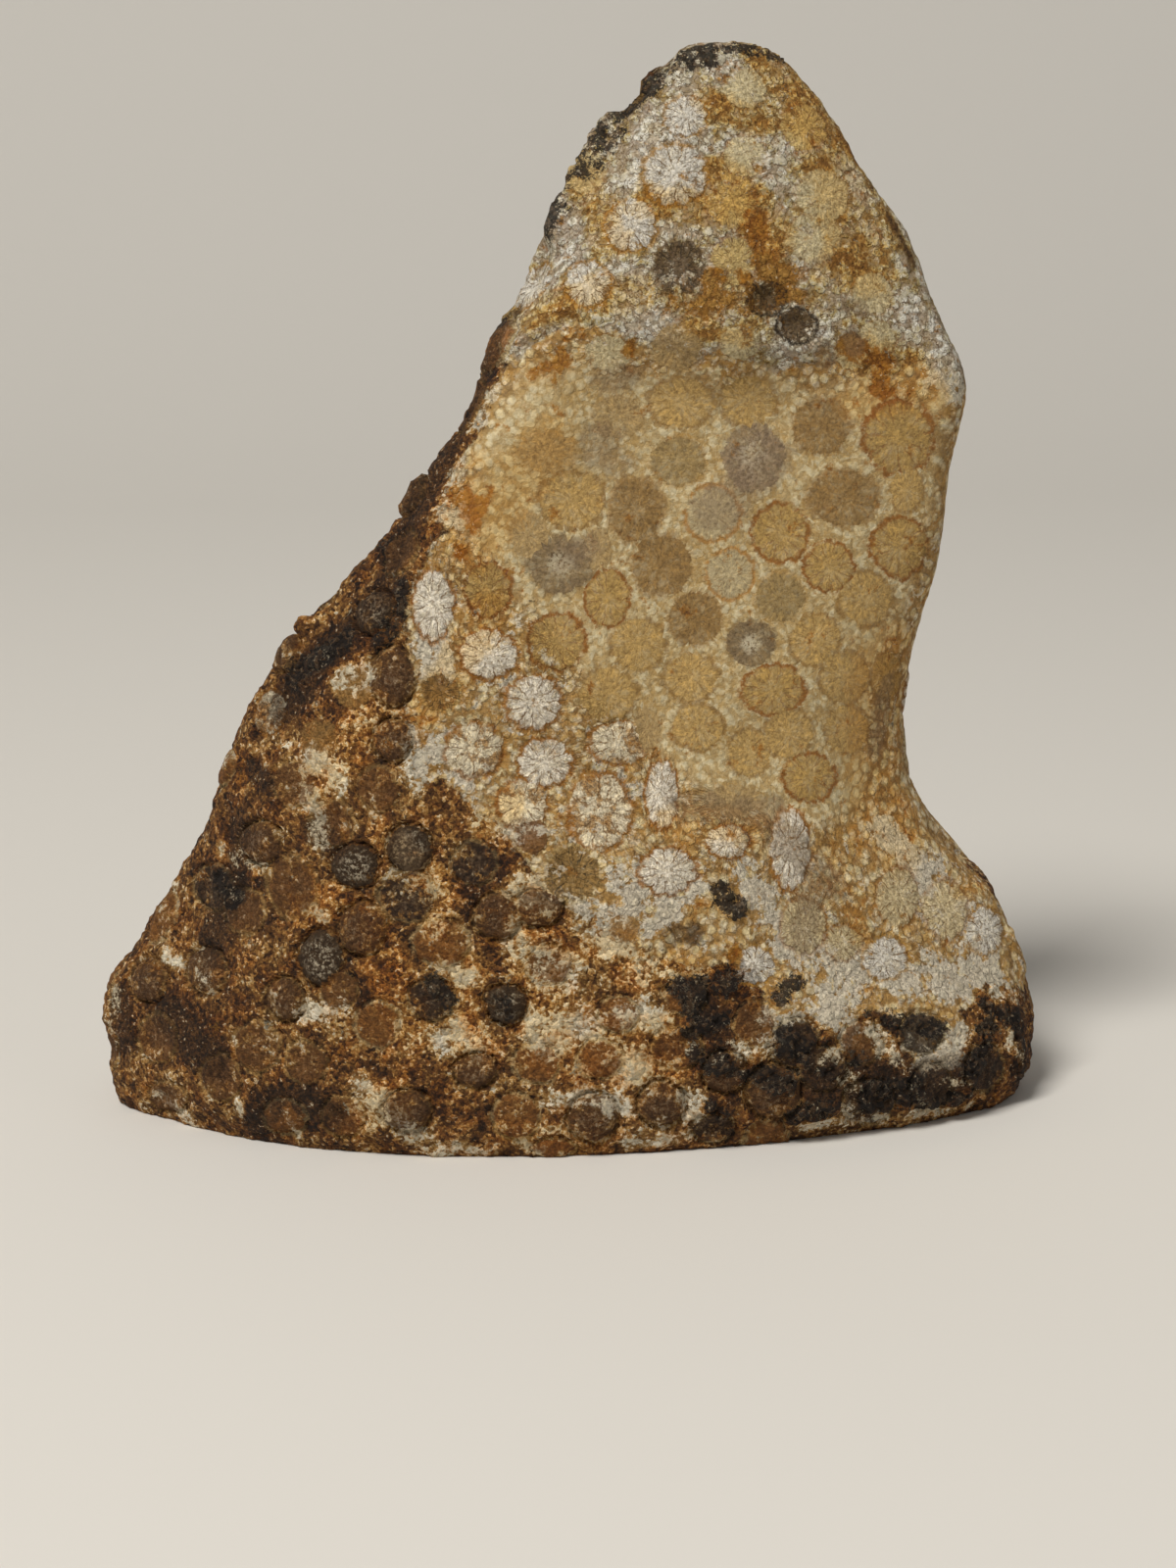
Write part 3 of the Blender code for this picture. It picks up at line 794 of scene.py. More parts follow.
def marks_tree(material):
    """Gives every face corner the pattern of its face's cup, so that no two patterns run together."""
    tree, start = geometry_tree("coral marks", {"Cups": "Object"})
    node = partial(add, tree)
    cups = node("GeometryNodeObjectInfo", start.outputs["Cups"]).outputs["Geometry"]
    value, across, along = cup_reader(node, cups)
    mesh = start.outputs["Geometry"]
    marks = {name: value(name) for name in ("disc", "line", "ring", "marks", "fill")}
    marks["cup"] = node("join", across, along, value("own", "FLOAT"))
    for name, socket in marks.items():
        mesh = node("store", mesh, named={"Name": name, "Value": socket}, domain="CORNER")
    mesh = node("GeometryNodeRealizeInstances", mesh)
    mesh = node("GeometryNodeSetShadeSmooth", mesh)
    mesh = node("GeometryNodeSetMaterial", mesh, named={"Material": material})
    node("NodeGroupOutput", mesh)
    return tree


# ---------------------------------------------------------------------------------------------
# The material


def through(node, value, codes):
    """A colour that changes to each next one as the value rises past its limits."""
    colour = codes[0]
    for low, high, code in codes[1:]:
        colour = node("blend", node("smooth", value, low, high), colour, code)
    return colour


def summed(node, *parts, base=0.0):
    """The base plus each value times its share."""
    for value, share in parts:
        base = node("share_plus", value, share, base)
    return base


def spokes(node, turn, radius, count, shift, width, start):
    """Thin radial lines of one width in millimetres, from that share of the radius outwards."""
    sector = node("share_plus", turn, count, shift)
    off = node("size", node("minus", node("part", sector), 0.5))
    gap = node("times", node("minus", 0.5, off), radius)
    gap = node("times", gap, 2 * np.pi * CUP_RADIUS / count)
    line = node("smooth", gap, width * 0.35, width * 1.2, 1.0, 0.0)
    return node("times", line, node("smooth", radius, start, start + 0.2)), off


def cup_marks(node):
    """Where the filling, its radial walls, its edge and the beads round it are, from the cup's place."""
    across, along, number = node("split", node("painted", attribute_name="cup").outputs["Vector"]).outputs
    lines, edge, lobes = node("split", node("painted", attribute_name="marks").outputs["Vector"]).outputs
    # Nothing in a fossil is ruled: noise of 1 mm moves each place by up to 15% of the cup's radius.
    here = node("ShaderNodeTexCoord").outputs["Object"]
    waver = node("noise", here, named={"Scale": 1100.0, "Detail": 3.0, "Roughness": 0.65})
    waver = node("ShaderNodeSeparateColor", waver.outputs["Color"])
    across = summed(node, (waver.outputs[0], 0.3), (across, 1.0), base=-0.15)
    along = summed(node, (waver.outputs[1], 0.3), (along, 1.0), base=-0.15)
    radius, heading = cup_place(node, across, along, number)

    # 11 long walls reach the middle, and 22 short ones stand between them near the edge.
    turn = node("plus", node("over", node("angle", along, across), 2 * np.pi), number)
    long_walls, off = spokes(node, turn, radius, 11.0, 0.0, 0.11, 0.25)
    short_walls, _ = spokes(node, turn, radius, 22.0, 0.5, 0.08, 0.5)
    walls = node("most", long_walls, node("times", short_walls, 0.6))

    def wrapped(round_scale, *lift):
        """A place that goes round the cup at that scale, and rises with its radius and number."""
        around = node("scaled", heading, named={"Scale": round_scale})
        return node("plus_vector", around, node("join", 0.0, 0.0, summed(node, *lift)))

    # Streaks run outwards: the noise changes fast round the cup and slowly along its radius.
    streak_place = wrapped(6.0, (radius, 2.6), (number, 50.0))
    streaks = node("noise", streak_place, named={"Scale": 1.0, "Detail": 4.0, "Roughness": 0.65}).outputs[0]

    # The filling ends near 0.95 of the radius, less where a lobe is notched, in a frayed edge.
    notch = node("times", node("power", node("times", off, 2.0), 3.0), lobes)
    beyond = summed(node, (radius, 1.0), (notch, 0.11), (streaks, 0.25), base=-0.95 - 0.125)
    filling = node("smooth", beyond, -0.03, 0.04, 1.0, 0.0)
    ring = node("smooth", node("size", node("minus", beyond, 0.05)), 0.02, 0.15, 1.0, 0.0)

    # Beads stand round the cup in rings, about 24 to a ring and 1.6 mm from ring to ring.
    bead_place = wrapped(3.8, (radius, 2.7), (number, 30.0))
    beads = node("cells", bead_place, named={"Scale": 1.0, "Randomness": 0.7}, feature="F1")
    fibres, _ = spokes(node, turn, radius, 50.0, 0.0, 0.12, 0.9)
    return {
        "radius": radius, "filling": filling, "ring": ring, "walls": walls, "lines": lines, "edge": edge,
        "beads": beads.outputs["Distance"], "bead_tone": beads.outputs["Color"], "fibres": fibres,
        "streaks": streaks,
    }


# The noises of the whole stone: patches to the metre, detail and roughness.
NOISES = {
    "broad": (70.0, 4.0, 0.6),  # clouds of 14 mm
    "mottle": (330.0, 7.0, 0.72),  # blotches of 3 mm
    "other": (260.0, 7.0, 0.7),  # blotches of 4 mm that follow another pattern
    "flecks": (1800.0, 4.0, 0.75),  # flecks of 0.6 mm
    "worms": (760.0, 2.5, 0.6),  # its middle contours are thin winding lines 1.3 mm apart
}


def coral_fields(node):
    """Patterns that the whole stone shares: noises, crumbs, loose beads and winding lines."""
    here = node("ShaderNodeTexCoord").outputs["Object"]
    noises = {
        name: node("noise", here, named={"Scale": scale, "Detail": detail, "Roughness": roughness})
        for name, (scale, detail, roughness) in NOISES.items()
    }
    fields = {name: noise.outputs[0] for name, noise in noises.items()}
    wobble = node("minus_vector", noises["worms"].outputs["Color"], (0.5, 0.5, 0.5))
    moved = node("plus_vector", here, node("scaled", wobble, named={"Scale": 0.9 * MM}))
    # Real grit is about 0.1 mm. It is drawn as crumbs of 0.6 mm, the finest that shows.
    crumbs = node("cells", moved, named={"Scale": 1700.0}, feature="F1")
    fields["crumb_tone"] = node("ShaderNodeSeparateColor", crumbs.outputs["Color"]).outputs[0]
    fields["crumb_round"] = crumbs.outputs["Distance"]
    # Away from the cups the beads lie loose, 1.6 mm apart.
    loose = node("cells", moved, named={"Scale": 620.0, "Randomness": 0.8}, feature="F1")
    fields["cell_round"] = loose.outputs["Distance"]
    fields["cell_tone"] = loose.outputs["Color"]
    winding = node("size", node("minus", fields["worms"], 0.5))
    fields["winding"] = node("smooth", winding, 0.004, 0.022, 1.0, 0.0)
    fields["broken"] = summed(node, (fields["mottle"], 0.6), (fields["flecks"], 0.4))
    return fields


def ragged(node, mask, source, low, high, by):
    """A soft painted mask whose edge breaks up with the noise."""
    return node("smooth", summed(node, (source, by), (mask, 1.0), base=-0.5 * by), low, high)


def powdery(node, code, fields):
    """A pale colour with darker flecks in it, as crumbled skeleton has."""
    return node("shade", 1.0, code, node("smooth", fields["flecks"], 0.4, 0.56, 0.66, 1.0))


def rust_ground(node, cup, fields, painted, cream, fine):
    """Rust crust: one cloudy value goes from dark hollows through brown to crumbs of pale skeleton."""
    value = summed(
        node, (fields["mottle"], 0.6), (fine, 1.0), (painted["pale"], 0.13), (painted["dark"], -0.085),
        (cup["ring"], 0.02), (painted["gold"], 0.07), (fields["broad"], 0.3), (cream, 0.05), base=-0.15,
    )
    rust = through(node, value, (
        "26170B", (0.36, 0.41, "412711"), (0.42, 0.46, "5D3B1A"), (0.47, 0.51, "774F24"),
        (0.515, 0.555, "9A7038"), (0.568, 0.603, "C29E66"), (0.612, 0.647, "E0D7C2"),
    ))
    redder = node("shade", 1.0, rust, (1.08, 0.93, 0.79))
    return node("blend", node("smooth", fields["other"], 0.47, 0.57), rust, redder)


def cream_ground(node, cup, fields, painted, reach, tone, speck):
    """Creamy beads of different tones with painted shade on their flanks, iron-stained cracks between them,
    powdery in places.
    """
    bead = node("blend", node("smooth", tone, 0.1, 0.8), "C6A161", "DAC798")
    bead = node("blend", node("smooth", cup["streaks"], 0.46, 0.6, 0.0, 0.5), bead, "E9E0CA")
    bead = node("blend", node("smooth", fields["other"], 0.53, 0.63, 0.0, 0.45), bead, "C89C54")
    crack = node("blend", node("smooth", fields["other"], 0.42, 0.56), "83602E", "AC8344")
    # Painted shade: each bead is darkened towards its edge, so that it looks round.
    crown = node("smooth", reach, 0.2, 0.58, 1.0, 0.0)
    painted_shade_flank = node("blend", node("times", crown, 0.45), node("shade", 1.0, bead, (0.7, 0.6, 0.48)), bead)
    creamy = node("blend", crown, painted_shade_flank, bead)
    creamy = node("blend", node("smooth", reach, 0.49, 0.64, 0.0, 0.75), creamy, crack)
    creamy = node("blend", node("times", fields["winding"], 0.4), creamy, crack)
    value = summed(node, (fields["mottle"], 1.0), (speck, 0.5), (painted["pale"], 0.17))
    crust = powdery(node, "DCD4C1", fields)
    return node("blend", node("smooth", value, 0.575, 0.62, 0.0, 0.8), creamy, crust)


def knob_ground(node, fields, painted, seam, fine):
    """Pale crust with honey-coloured pools, crackled by brown seams and winding lines."""
    value = summed(
        node, (fields["other"], 0.75), (fine, 0.7), (painted["pale"], 0.08), (painted["gold"], -0.075),
        (painted["dark"], -0.1),
    )
    crusty = through(node, value, (
        "7D5927", (0.34, 0.38, "A67F42"), (0.385, 0.43, "BA9E62"), (0.43, 0.465, "C2B286"),
        (0.475, 0.515, "C6BDA6"), (0.56, 0.61, "D6D2C6"),
    ))
    crusty = node("blend", node("times", seam, 0.58), crusty, "7A582A")
    return node("blend", node("times", fields["winding"], 0.85), crusty, "65481F")


def worn_ground(node, fields, reach, tone, seam, cream_colour):
    """Waxy worn silica: soft cream beads in honey stone, with faint seams."""
    waxy = node("blend", node("smooth", fields["other"], 0.4, 0.6), "AF9564", "C0AE84")
    whiter = node("smooth", summed(node, (tone, 0.12), (fields["mottle"], 1.0)), 0.48, 0.62, 0.15, 0.68)
    bead = node("blend", whiter, waxy, cream_colour)
    waxy = node("blend", node("smooth", reach, 0.3, 0.5, 1.0, 0.0), waxy, bead)
    waxy = node("blend", node("times", seam, 0.45), waxy, "98763C")
    return node("blend", node("times", fields["winding"], 0.25), waxy, "D8CDAC")


def ground_colour(node, cup, fields, painted, zones, cream_colour):
    """The stone between the cups in each of its zones, and the seams between its beads."""
    worn, cream, knob = zones
    away = node("smooth", cup["radius"], 1.35, 1.6)
    reach = node("choose", away, cup["beads"], fields["cell_round"])
    reach = summed(node, (fields["flecks"], 0.25), (reach, 1.0), base=-0.125)
    seam = node("choose", painted["fibrous"], node("smooth", reach, 0.45, 0.58), cup["fibres"])
    tone = node("blend", away, cup["bead_tone"], fields["cell_tone"])
    tone = node("ShaderNodeSeparateColor", tone).outputs[0]
    speck = node("share_plus", fields["crumb_tone"], 0.11, -0.055)
    fine = node("share_plus", fields["flecks"], 0.4, speck)
    rust = rust_ground(node, cup, fields, painted, cream, fine)
    creamy = cream_ground(node, cup, fields, painted, reach, tone, speck)
    crusty = knob_ground(node, fields, painted, seam, fine)
    waxy = worn_ground(node, fields, reach, tone, seam, cream_colour)
    ground = node("blend", knob, node("blend", cream, rust, creamy), crusty)
    return node("blend", worn, ground, waxy), seam


def cup_colour(node, cup, fields, painted, worn):
    """The filling of a cup: its tone, patches, pale middle, bloom and radial walls."""
    disc = node("painted", attribute_name="disc").outputs["Color"]
    deeper = node("shade", 1.0, disc, (0.5, 0.44, 0.36))
    lighter = node("shade", 1.0, disc, (1.4, 1.36, 1.24))
    disc = node("blend", node("smooth", fields["flecks"], 0.4, 0.5, 0.7, 0.0), disc, deeper)
    disc = node("blend", node("smooth", cup["streaks"], 0.52, 0.6, 0.0, 0.8), disc, lighter)
    specks = node("shade", 1.0, disc, (1.5, 1.5, 1.55))
    disc = node("blend", node("smooth", fields["flecks"], 0.54, 0.62, 0.0, 0.5), disc, specks)
    stained = node("times", ragged(node, painted["stain"], fields["other"], 0.78, 0.95, 3.0), 0.85)
    stain = node("blend", node("smooth", fields["flecks"], 0.42, 0.56), "5C3F1E", "B08243")
    disc = node("blend", stained, disc, stain)
    middle = node("times", node("smooth", cup["radius"], 0.1, 0.6, 1.0, 0.0), painted["core"])
    middle = node("times", middle, node("smooth", fields["flecks"], 0.42, 0.52))
    disc = node("blend", middle, disc, "C9BFA4")
    powder = summed(node, (fields["crumb_tone"], 0.12), (fields["flecks"], 1.0), base=-0.06)
    bloom = node("times", node("smooth", powder, 0.48, 0.6), painted["dust"])
    bloom = node("times", bloom, node("smooth", cup["radius"], 0.3, 0.95, 1.0, 0.0))
    disc = node("blend", bloom, disc, "ADA089")
    walls = node("times", node("times", cup["walls"], cup["lines"]), cup["whole"])
    sponge = node("times", node("times", fields["winding"], cup["lines"]), 0.6)
    walls = node("most", walls, node("times", sponge, node("minus", 1.0, worn)))
    return node("blend", walls, disc, node("painted", attribute_name="line").outputs["Color"]), walls


def filling_share(node, cup, fields, painted, worn, dull, gritty):
    """How much of the filling shows, under the coat of crust on it and where wear has thinned it."""
    coat = summed(
        node, (fields["mottle"], 1.0), (fields["crumb_tone"], 0.05), (dull, -0.07), (gritty, 0.07),
        base=-0.025,
    )
    towards_edge = node("times", node("minus", cup["radius"], 0.65), gritty)
    coat = node("share_plus", towards_edge, 0.12, coat)
    coat = node("times", node("smooth", coat, 0.505, 0.55, 0.0, 0.85), node("minus", dull, painted["dust"]))
    coat = node("most", coat, node("times", node("minus", gritty, painted["dust"]), 0.22))
    thin = node("times", node("smooth", fields["mottle"], 0.42, 0.58, 0.0, 0.3), worn)
    return node("times", cup["filling"], node("minus", 1.0, node("most", coat, thin)))


def tinted(node, colour, fields, painted, ochre):
    """Stains that leave the stone's pattern showing: iron, honey, ash-brown and deep umber; on the right
    flank the honey and ash-brown ones are also painted shade.
    """
    iron = node("times", ragged(node, painted["ochre"], fields["other"], 0.4, 1.0, 5.5), 0.95)
    lit = node("blend", node("smooth", fields["flecks"], 0.42, 0.56, 0.0, 0.5), colour, "D6C49C")
    colour = node("blend", iron, colour, node("shade", 1.0, lit, ochre))
    # Honey-coloured darkening; on the right flank it is also painted shade.
    gold = node("times", ragged(node, painted["gold"], fields["mottle"], 0.3, 0.9, 2.5), 0.75)
    colour = node("blend", gold, colour, node("shade", 1.0, colour, (1.02, 0.84, 0.54)))
    # Ash-brown colour; on the right flank it is also painted shade.
    grey = node("times", ragged(node, painted["grey"], fields["other"], 0.3, 0.9, 2.5), 0.5)
    ashy_and_shade = node("shade", 1.0, "806A50", node("smooth", fields["flecks"], 0.3, 0.6, 0.6, 1.1))
    colour = node("blend", grey, colour, ashy_and_shade)
    umber = node("times", ragged(node, painted["dark"], fields["mottle"], 0.35, 0.95, 3.0), 0.72)
    deep = node("blend", node("smooth", fields["flecks"], 0.42, 0.6), "291A0E", "5C3E20")
    return node("blend", umber, colour, deep)


def blackened(node, colour, fields, painted, black_colour):
    """Black manganese crust where it is painted, and in patches of its own behind. Worn stone has less."""
    behind = node("minus", 1.0, painted["front"])
    crusts = node("times", node("smooth", fields["broad"], 0.54, 0.62), behind)
    black = node("most", painted["black"], crusts)
    black = summed(node, (painted["worn"], -0.6), (painted["pale"], -0.8), (black, 1.0))
    black = ragged(node, black, fields["broken"], 0.62, 0.76, 6.5)
    soot = node("blend", node("smooth", fields["crumb_tone"], 0.6, 0.9, 0.0, 0.8), black_colour, "4A3724")
    net = node("times", fields["winding"], node("smooth", fields["other"], 0.46, 0.56, 0.0, 0.35))
    soot = node("blend", net, soot, "A3957C")
    return node("blend", node("times", black, 0.94), colour, soot), black


def crumbled(node, colour, cup, fields, painted, black, dull, gritty):
    """Pale chips and crumbs of skeleton on the dull stone, painted shade in its hollows, and its grain."""
    chips = ragged(node, node("times", painted["pale"], 0.5), fields["broken"], 0.6, 0.8, 6.0)
    chips = node("times", chips, node("times", gritty, 0.75))
    colour = node("blend", chips, colour, powdery(node, "E2D3B3", fields))
    crumbs = summed(node, (fields["flecks"], 0.6), (fields["crumb_tone"], 0.2))
    bared = node("share_plus", node("most", black, cup["filling"]), -0.6, dull)
    crumbs = node("times", node("smooth", crumbs, 0.535, 0.56), bared)
    colour = node("blend", node("times", crumbs, 0.7), colour, "D9CCAE")
    # Painted shade: where the relief sinks more than 0.3 mm, in the moats and hollows of gritty stone, the
    # colour is darkened.
    hollow = node("times", node("smooth", painted["raised"], -1.5, -0.3, 0.8, 0.0), gritty)
    colour = node("blend", hollow, colour, node("shade", 1.0, colour, (0.42, 0.35, 0.27)))
    strength = node("share_plus", gritty, 0.5, 0.26)
    strength = node("times", strength, node("share_plus", cup["filling"], -0.4, 1.0))
    grain = node("share_plus", node("minus", fields["crumb_tone"], 0.5), strength, 1.0)
    return node("shade", 1.0, colour, node("ShaderNodeCombineColor", grain, grain, grain))


def fine_relief(node, cup, fields, walls, seam, worn, gritty):
    """Seams and walls sink in, and grains stand out where the surface isn't worn."""
    seams_cut = node("times", seam, node("minus", 1.0, cup["filling"]))
    cut = node("times", summed(node, (walls, -0.5), (seams_cut, -0.7)), node("choose", worn, 1.0, 0.2))
    grains = summed(node, (fields["crumb_round"], -0.45), (fields["flecks"], 1.0), (fields["mottle"], 1.0))
    height = node("share_plus", grains, node("share_plus", gritty, 2.1, 0.1), cut)
    return node("ShaderNodeBump", named={"Strength": 1.0, "Distance": 0.4 * MM, "Height": height})


def coral_material(colours):
    """Agatised coral: silica that replaced the skeleton, worn smooth on one side, iron stained below.

    The worn side is waxy and cream with soft-edged cups. The rest is dull and gritty, rust brown with
    white crumbs of skeleton, and manganese has left black crusts on it.
    """
    material = bpy.data.materials.new("agatised_weathered_coral")
    material.use_nodes = True
    tree = material.node_tree
    tree.nodes.clear()
    node = partial(add, tree)
    cup = cup_marks(node)
    fields = coral_fields(node)
    cup["whole"] = node("smooth", fields["mottle"], 0.4, 0.5)  # where walls and edges aren't broken
    painted = {}
    for name, channels in PAINTED.items():
        parts = node("split", node("painted", attribute_name=name).outputs["Vector"]).outputs
        painted.update(zip(channels, parts))
    pale_behind = node("smooth", fields["broad"], 0.4, 0.46, 1.0, 0.0)
    pale_behind = node("times", pale_behind, node("minus", 1.0, painted["front"]))
    painted["pale"] = node("most", painted["pale"], pale_behind)

    cloudy = summed(node, (fields["mottle"], 0.6), (fields["broad"], 0.4))
    worn = ragged(node, painted["worn"], fields["mottle"], 0.2, 0.8, 1.6)
    cream = ragged(node, painted["cream"], fields["mottle"], 0.4, 0.6, 2.4)
    knob = ragged(node, painted["knob"], cloudy, 0.4, 0.6, 3.0)
    dull = node("minus", 1.0, worn)
    # Grit by zone: all of it on the rust, less on the cream band and the knob, little where worn.
    gritty = node("choose", worn, node("choose", knob, node("choose", cream, 1.0, 0.4), 0.46), 0.16)

    ground, seam = ground_colour(node, cup, fields, painted, (worn, cream, knob), colours["cream"])
    disc, walls = cup_colour(node, cup, fields, painted, worn)
    shown = filling_share(node, cup, fields, painted, worn, dull, gritty)
    colour = node("blend", shown, ground, disc)
    ring = node("times", node("times", cup["ring"], cup["edge"]), cup["whole"])
    colour = node("blend", ring, colour, node("painted", attribute_name="ring").outputs["Color"])
    colour = tinted(node, colour, fields, painted, colours["ochre"])
    colour, black = blackened(node, colour, fields, painted, colours["black"])
    colour = crumbled(node, colour, cup, fields, painted, black, dull, gritty)
    shader = node("ShaderNodeBsdfPrincipled", named={
        "Base Color": colour,
        "Roughness": node("choose", worn, 0.85, 0.42),  # dull crust, and silica polished by wear
        "Normal": fine_relief(node, cup, fields, walls, seam, worn, gritty),
        "IOR": 1.54,
        "Specular IOR Level": 0.28,
    })
    node("ShaderNodeOutputMaterial", shader)
    return material


# ---------------------------------------------------------------------------------------------
# The finished stone


def thinned(mesh, most):
    """The mesh with no more than that many triangles, kept where the surface turns most."""
    thing = new_object("thinned", mesh)
    triangles = sum(len(face.vertices) - 2 for face in mesh.polygons)
    fewer = thing.modifiers.new("fewer", "DECIMATE")
    fewer.ratio = min(1.0, most / triangles)
    fewer.use_collapse_triangulate = True
    result = evaluated_mesh(thing)
    bpy.data.objects.remove(thing)
    return result


def through_tree(mesh, tree, values):
    """The plain mesh that the tree makes of this one."""
    thing = new_object("worked_stone", mesh)
    use_tree(thing, tree, values)
    result = evaluated_mesh(thing)
    bpy.data.objects.remove(thing)
    return result


def face_middles(mesh):
    middles = np.empty(len(mesh.polygons) * 3)
    mesh.polygons.foreach_get("center", middles)
    return middles.reshape(-1, 3)


def make_stone(settings):
    mesh = smooth_stone(settings.cell)
    stone = Stone(mesh)
    paint(stone)
    placed = placed_cups(stone)
    cups = placed + scattered_cups(stone, placed, settings.cup_spacing, settings.cup_width, settings.seed)
    carriers = cup_points(cups, settings.seed)
    keep(mesh, "own_cup", "INT", own_cups(stone.points, cups))
    reliefs = {"Cups": carriers, "Cup Relief": settings.cup_relief, "Grain Relief": settings.grain_relief}
    mesh = through_tree(mesh, relief_tree(), reliefs)
    mesh.attributes.remove(mesh.attributes["own_cup"])
    mesh = thinned(mesh, settings.triangles)
    keep(mesh, "own_cup", "INT", own_cups(face_middles(mesh), cups), "FACE")
    material = coral_material({name: tuple(getattr(settings, name)) for name in ("cream", "ochre", "black")})
    mesh = through_tree(mesh, marks_tree(material), {"Cups": carriers})
    bpy.data.objects.remove(carriers)
    piece = new_object("weathered_coral", mesh)
    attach(piece, "root")
    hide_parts(NODE)
    return piece


# ---------------------------------------------------------------------------------------------
# The stage


def floor_material(colour):
    """Matt studio paper: even, pale and without gloss, so that it shows only the stone's soft shadow."""
    material = bpy.data.materials.new("matt_studio_paper")
    material.use_nodes = True
    shader = material.node_tree.nodes["Principled BSDF"]
    shader.inputs["Base Color"].default_value = (*colour, 1.0)
    shader.inputs["Roughness"].default_value = 0.9
    return material


def make_floor(colour):
    """A sheet that lies under the stone and curves up behind it."""
    front, back, rise, bend, half_width = -6.0, 1.1, 1.6, 0.5, 6.0
    profile = [(front, 0.0), (back - bend, 0.0)]
    for step in range(1, 13):
        angle = radians(90.0 * step / 12)
        profile.append((back - bend + bend * np.sin(angle), bend * (1 - np.cos(angle))))
    profile.append((back, rise))
    sheet = bmesh.new()
    rows = [[sheet.verts.new((x, y, z)) for x in (-half_width, half_width)] for y, z in profile]
    for low, high in zip(rows, rows[1:]):
        sheet.faces.new((low[0], low[1], high[1], high[0]))
    mesh = bpy.data.meshes.new("studio_floor")
    sheet.to_mesh(mesh)
    sheet.free()
    mesh.shade_smooth()
    mesh.materials.append(floor_material(colour))
    floor = new_object("studio_floor", mesh)


# Each softbox: its name, place, side in metres, share of the key light's power, and colour.
SOFTBOXES = (
    ("softbox_above", (-0.55, -0.93, 1.53), 0.6, 1.0, (1.0, 0.965, 0.91)),
    ("softbox_right", (0.8, -0.5, 0.5), 0.5, 0.015, (1.0, 0.98, 0.95)),
)
LIT_POINT = Vector((0.0, 0.0, 0.08))  # the middle of the stone, which the lights face


def make_light(name, place, size, watts, colour):
    """A soft square light that faces the middle of the stone."""
    light = bpy.data.lights.new(name, "AREA")
    light.shape = "SQUARE"
    light.size = size
    light.energy = watts
    light.color = colour
    lamp = new_object(name, light)
    lamp.location = place
    lamp.rotation_euler = (LIT_POINT - Vector(place)).to_track_quat("-Z", "Y").to_euler()


def make_camera():
    camera = bpy.data.cameras.new("front_view")
    camera.sensor_fit = "VERTICAL"
    camera.sensor_height = SENSOR_HEIGHT
    camera.lens = VIEW_FOCAL / VIEW_SIZE[1] * SENSOR_HEIGHT
    camera.clip_start = 0.01
    holder = new_object("front_view", camera)
    holder.matrix_world = Matrix.Translation(CAMERA_PLACE) @ camera_turn()
    bpy.context.scene.camera = holder


def make_world(strength):
    world = bpy.data.worlds.new("studio_air")
    world.use_nodes = True
    air = world.node_tree.nodes["Background"]
    air.inputs["Color"].default_value = (1.0, 0.98, 0.95, 1.0)
    air.inputs["Strength"].default_value = strength
    bpy.context.scene.world = world


def make_stage(settings):
    bpy.context.scene.view_settings.view_transform = "Standard"
    make_floor(tuple(settings.floor))
    make_camera()
    make_world(settings.fill)
    for name, place, size, share, colour in SOFTBOXES:
        make_light(name, place, size, settings.key * share, colour)


# ---------------------------------------------------------------------------------------------
# Settings, operators and panel


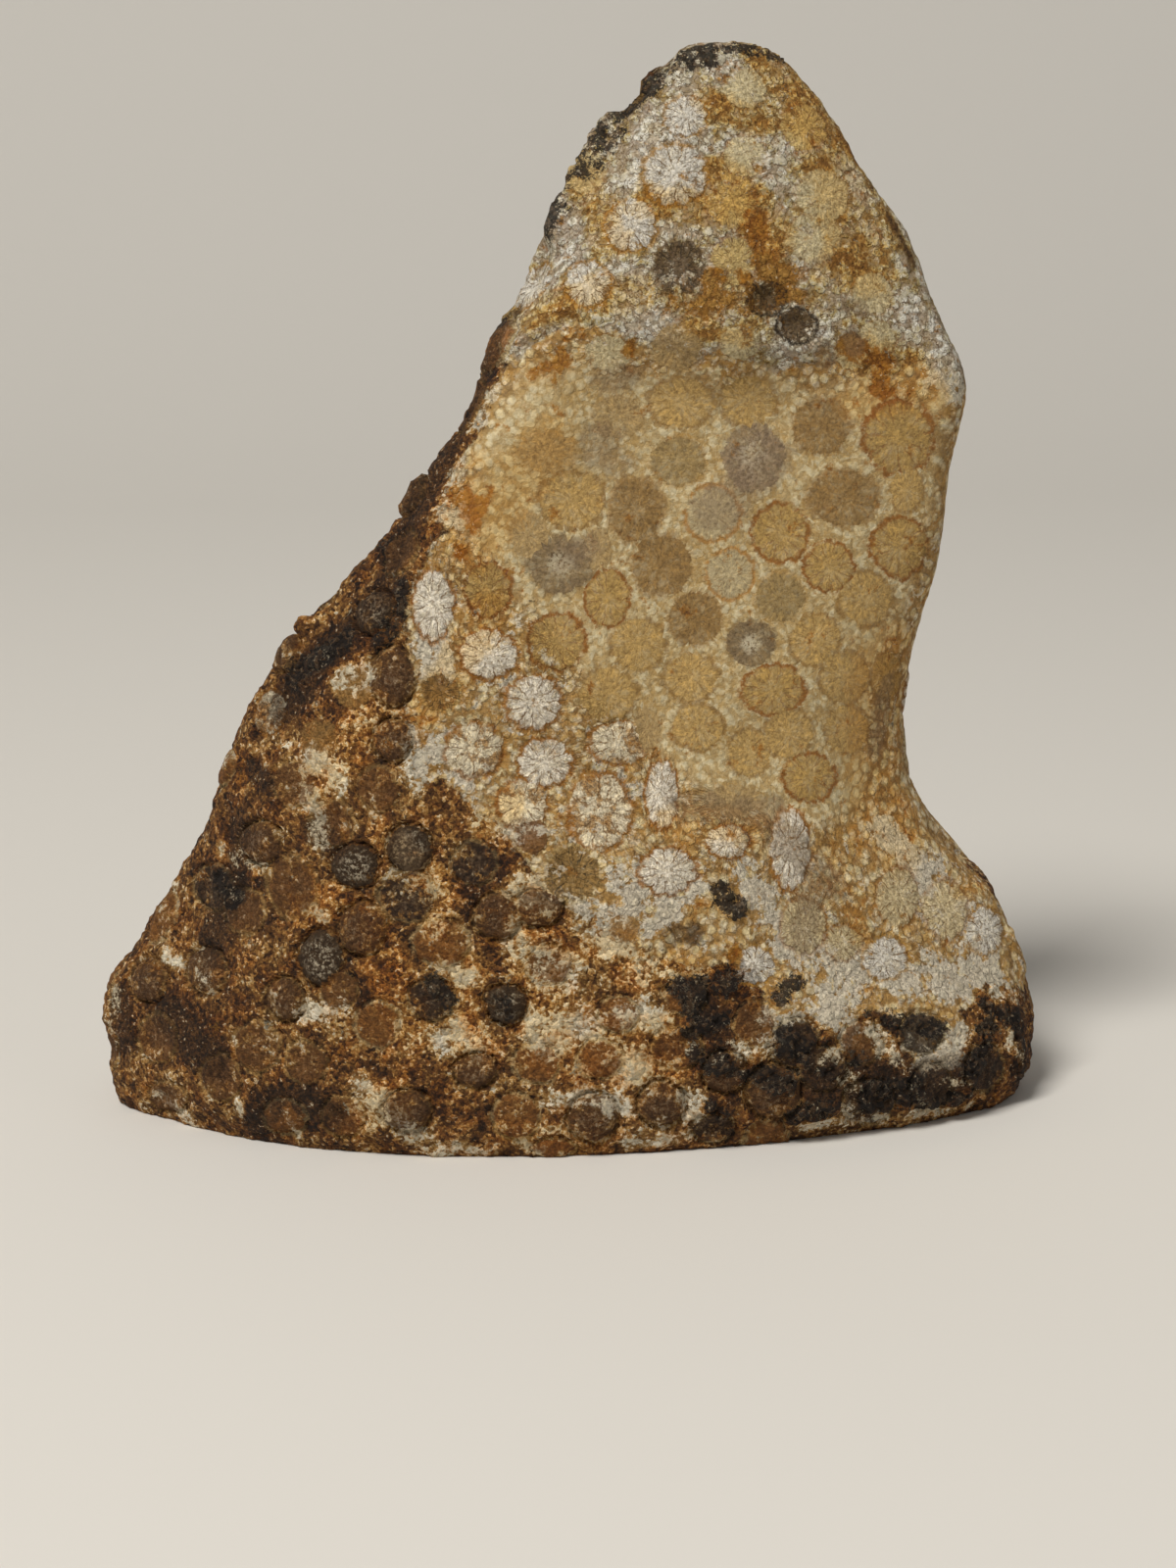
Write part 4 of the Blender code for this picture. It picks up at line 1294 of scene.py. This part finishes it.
class CoralStoneSettings(bpy.types.PropertyGroup):
    """Sizes and colours of the stone's surface."""

    cell: FloatProperty(
        name="Cell", description="Distance between the points of the surface before it is thinned",
        default=0.52 * MM, min=0.3 * MM, unit="LENGTH", precision=5,
    )
    triangles: IntProperty(
        name="Triangles", description="Most triangles that the stone may have", default=196000, min=20000
    )
    cup_width: FloatProperty(
        name="Cup width", description="Width of the scattered cups", default=8.6 * MM, min=MM, unit="LENGTH",
        precision=5,
    )
    cup_spacing: FloatProperty(
        name="Cup spacing", description="Least distance between two cups' centres", default=9.3 * MM,
        min=MM, unit="LENGTH", precision=5,
    )
    cup_relief: FloatProperty(
        name="Cup relief", description="Share of the real height of the cups' relief", default=1.0, min=0.0
    )
    grain_relief: FloatProperty(
        name="Grain relief", description="Height of the crust's grain, in millimetres", default=0.6, min=0.0
    )
    seed: IntProperty(name="Seed", description="Number that the scattered cups are drawn from", default=7)
    cream: FloatVectorProperty(
        name="Cream", description="Worn skeleton between the cups", default=linear("CEC2A0"), subtype="COLOR"
    )
    ochre: FloatVectorProperty(
        name="Ochre", description="Tint that an iron stain gives the stone", default=linear("C8983C"),
        subtype="COLOR",
    )
    black: FloatVectorProperty(
        name="Black", description="Manganese crust", default=linear("1D1611"), subtype="COLOR"
    )


class CoralStageSettings(bpy.types.PropertyGroup):
    """The floor and lights that the stone is seen with."""

    floor: FloatVectorProperty(
        name="Floor", description="Colour of the paper floor", default=linear("D8D5CF"), subtype="COLOR"
    )
    key: FloatProperty(
        name="Key light", description="Power of the softbox above", default=31.0, min=0.0, unit="POWER"
    )
    fill: FloatProperty(name="Fill", description="Strength of the air's light", default=0.2, min=0.0)


class CORAL_OT_make_stone(bpy.types.Operator):
    """Makes the stone with its cups, worn face and crust"""

    bl_idname = "coral.make_stone"
    bl_label = "Make Coral Stone"

    def execute(self, context):
        make_stone(context.scene.coral_stone)
        return {"FINISHED"}


class CORAL_OT_make_stage(bpy.types.Operator):
    """Makes the floor, the lights and the camera"""

    bl_idname = "coral.make_stage"
    bl_label = "Make Stage"

    def execute(self, context):
        make_stage(context.scene.coral_stage)
        return {"FINISHED"}


class CORAL_PT_panel(bpy.types.Panel):
    """Lists the settings and the steps"""

    bl_idname = "CORAL_PT_panel"
    bl_label = "Fossil Coral"
    bl_space_type = "VIEW_3D"
    bl_region_type = "UI"
    bl_category = "Fossil Coral"

    def draw(self, context):
        for settings in (context.scene.coral_stone, context.scene.coral_stage):
            for name in type(settings).__annotations__:
                self.layout.prop(settings, name)
        for operator in (CORAL_OT_make_stone, CORAL_OT_make_stage):
            self.layout.operator(operator.bl_idname)


CLASSES = (CoralStoneSettings, CoralStageSettings, CORAL_OT_make_stone, CORAL_OT_make_stage, CORAL_PT_panel)


def register():
    for part in CLASSES:
        bpy.utils.register_class(part)
    bpy.types.Scene.coral_stone = PointerProperty(type=CoralStoneSettings)
    bpy.types.Scene.coral_stage = PointerProperty(type=CoralStageSettings)


def unregister():
    del bpy.types.Scene.coral_stage
    del bpy.types.Scene.coral_stone
    for part in reversed(CLASSES):
        bpy.utils.unregister_class(part)


def main():
    register()
    bpy.ops.coral.make_stage()
    bpy.ops.coral.make_stone()


if __name__ == "__main__":
    main()
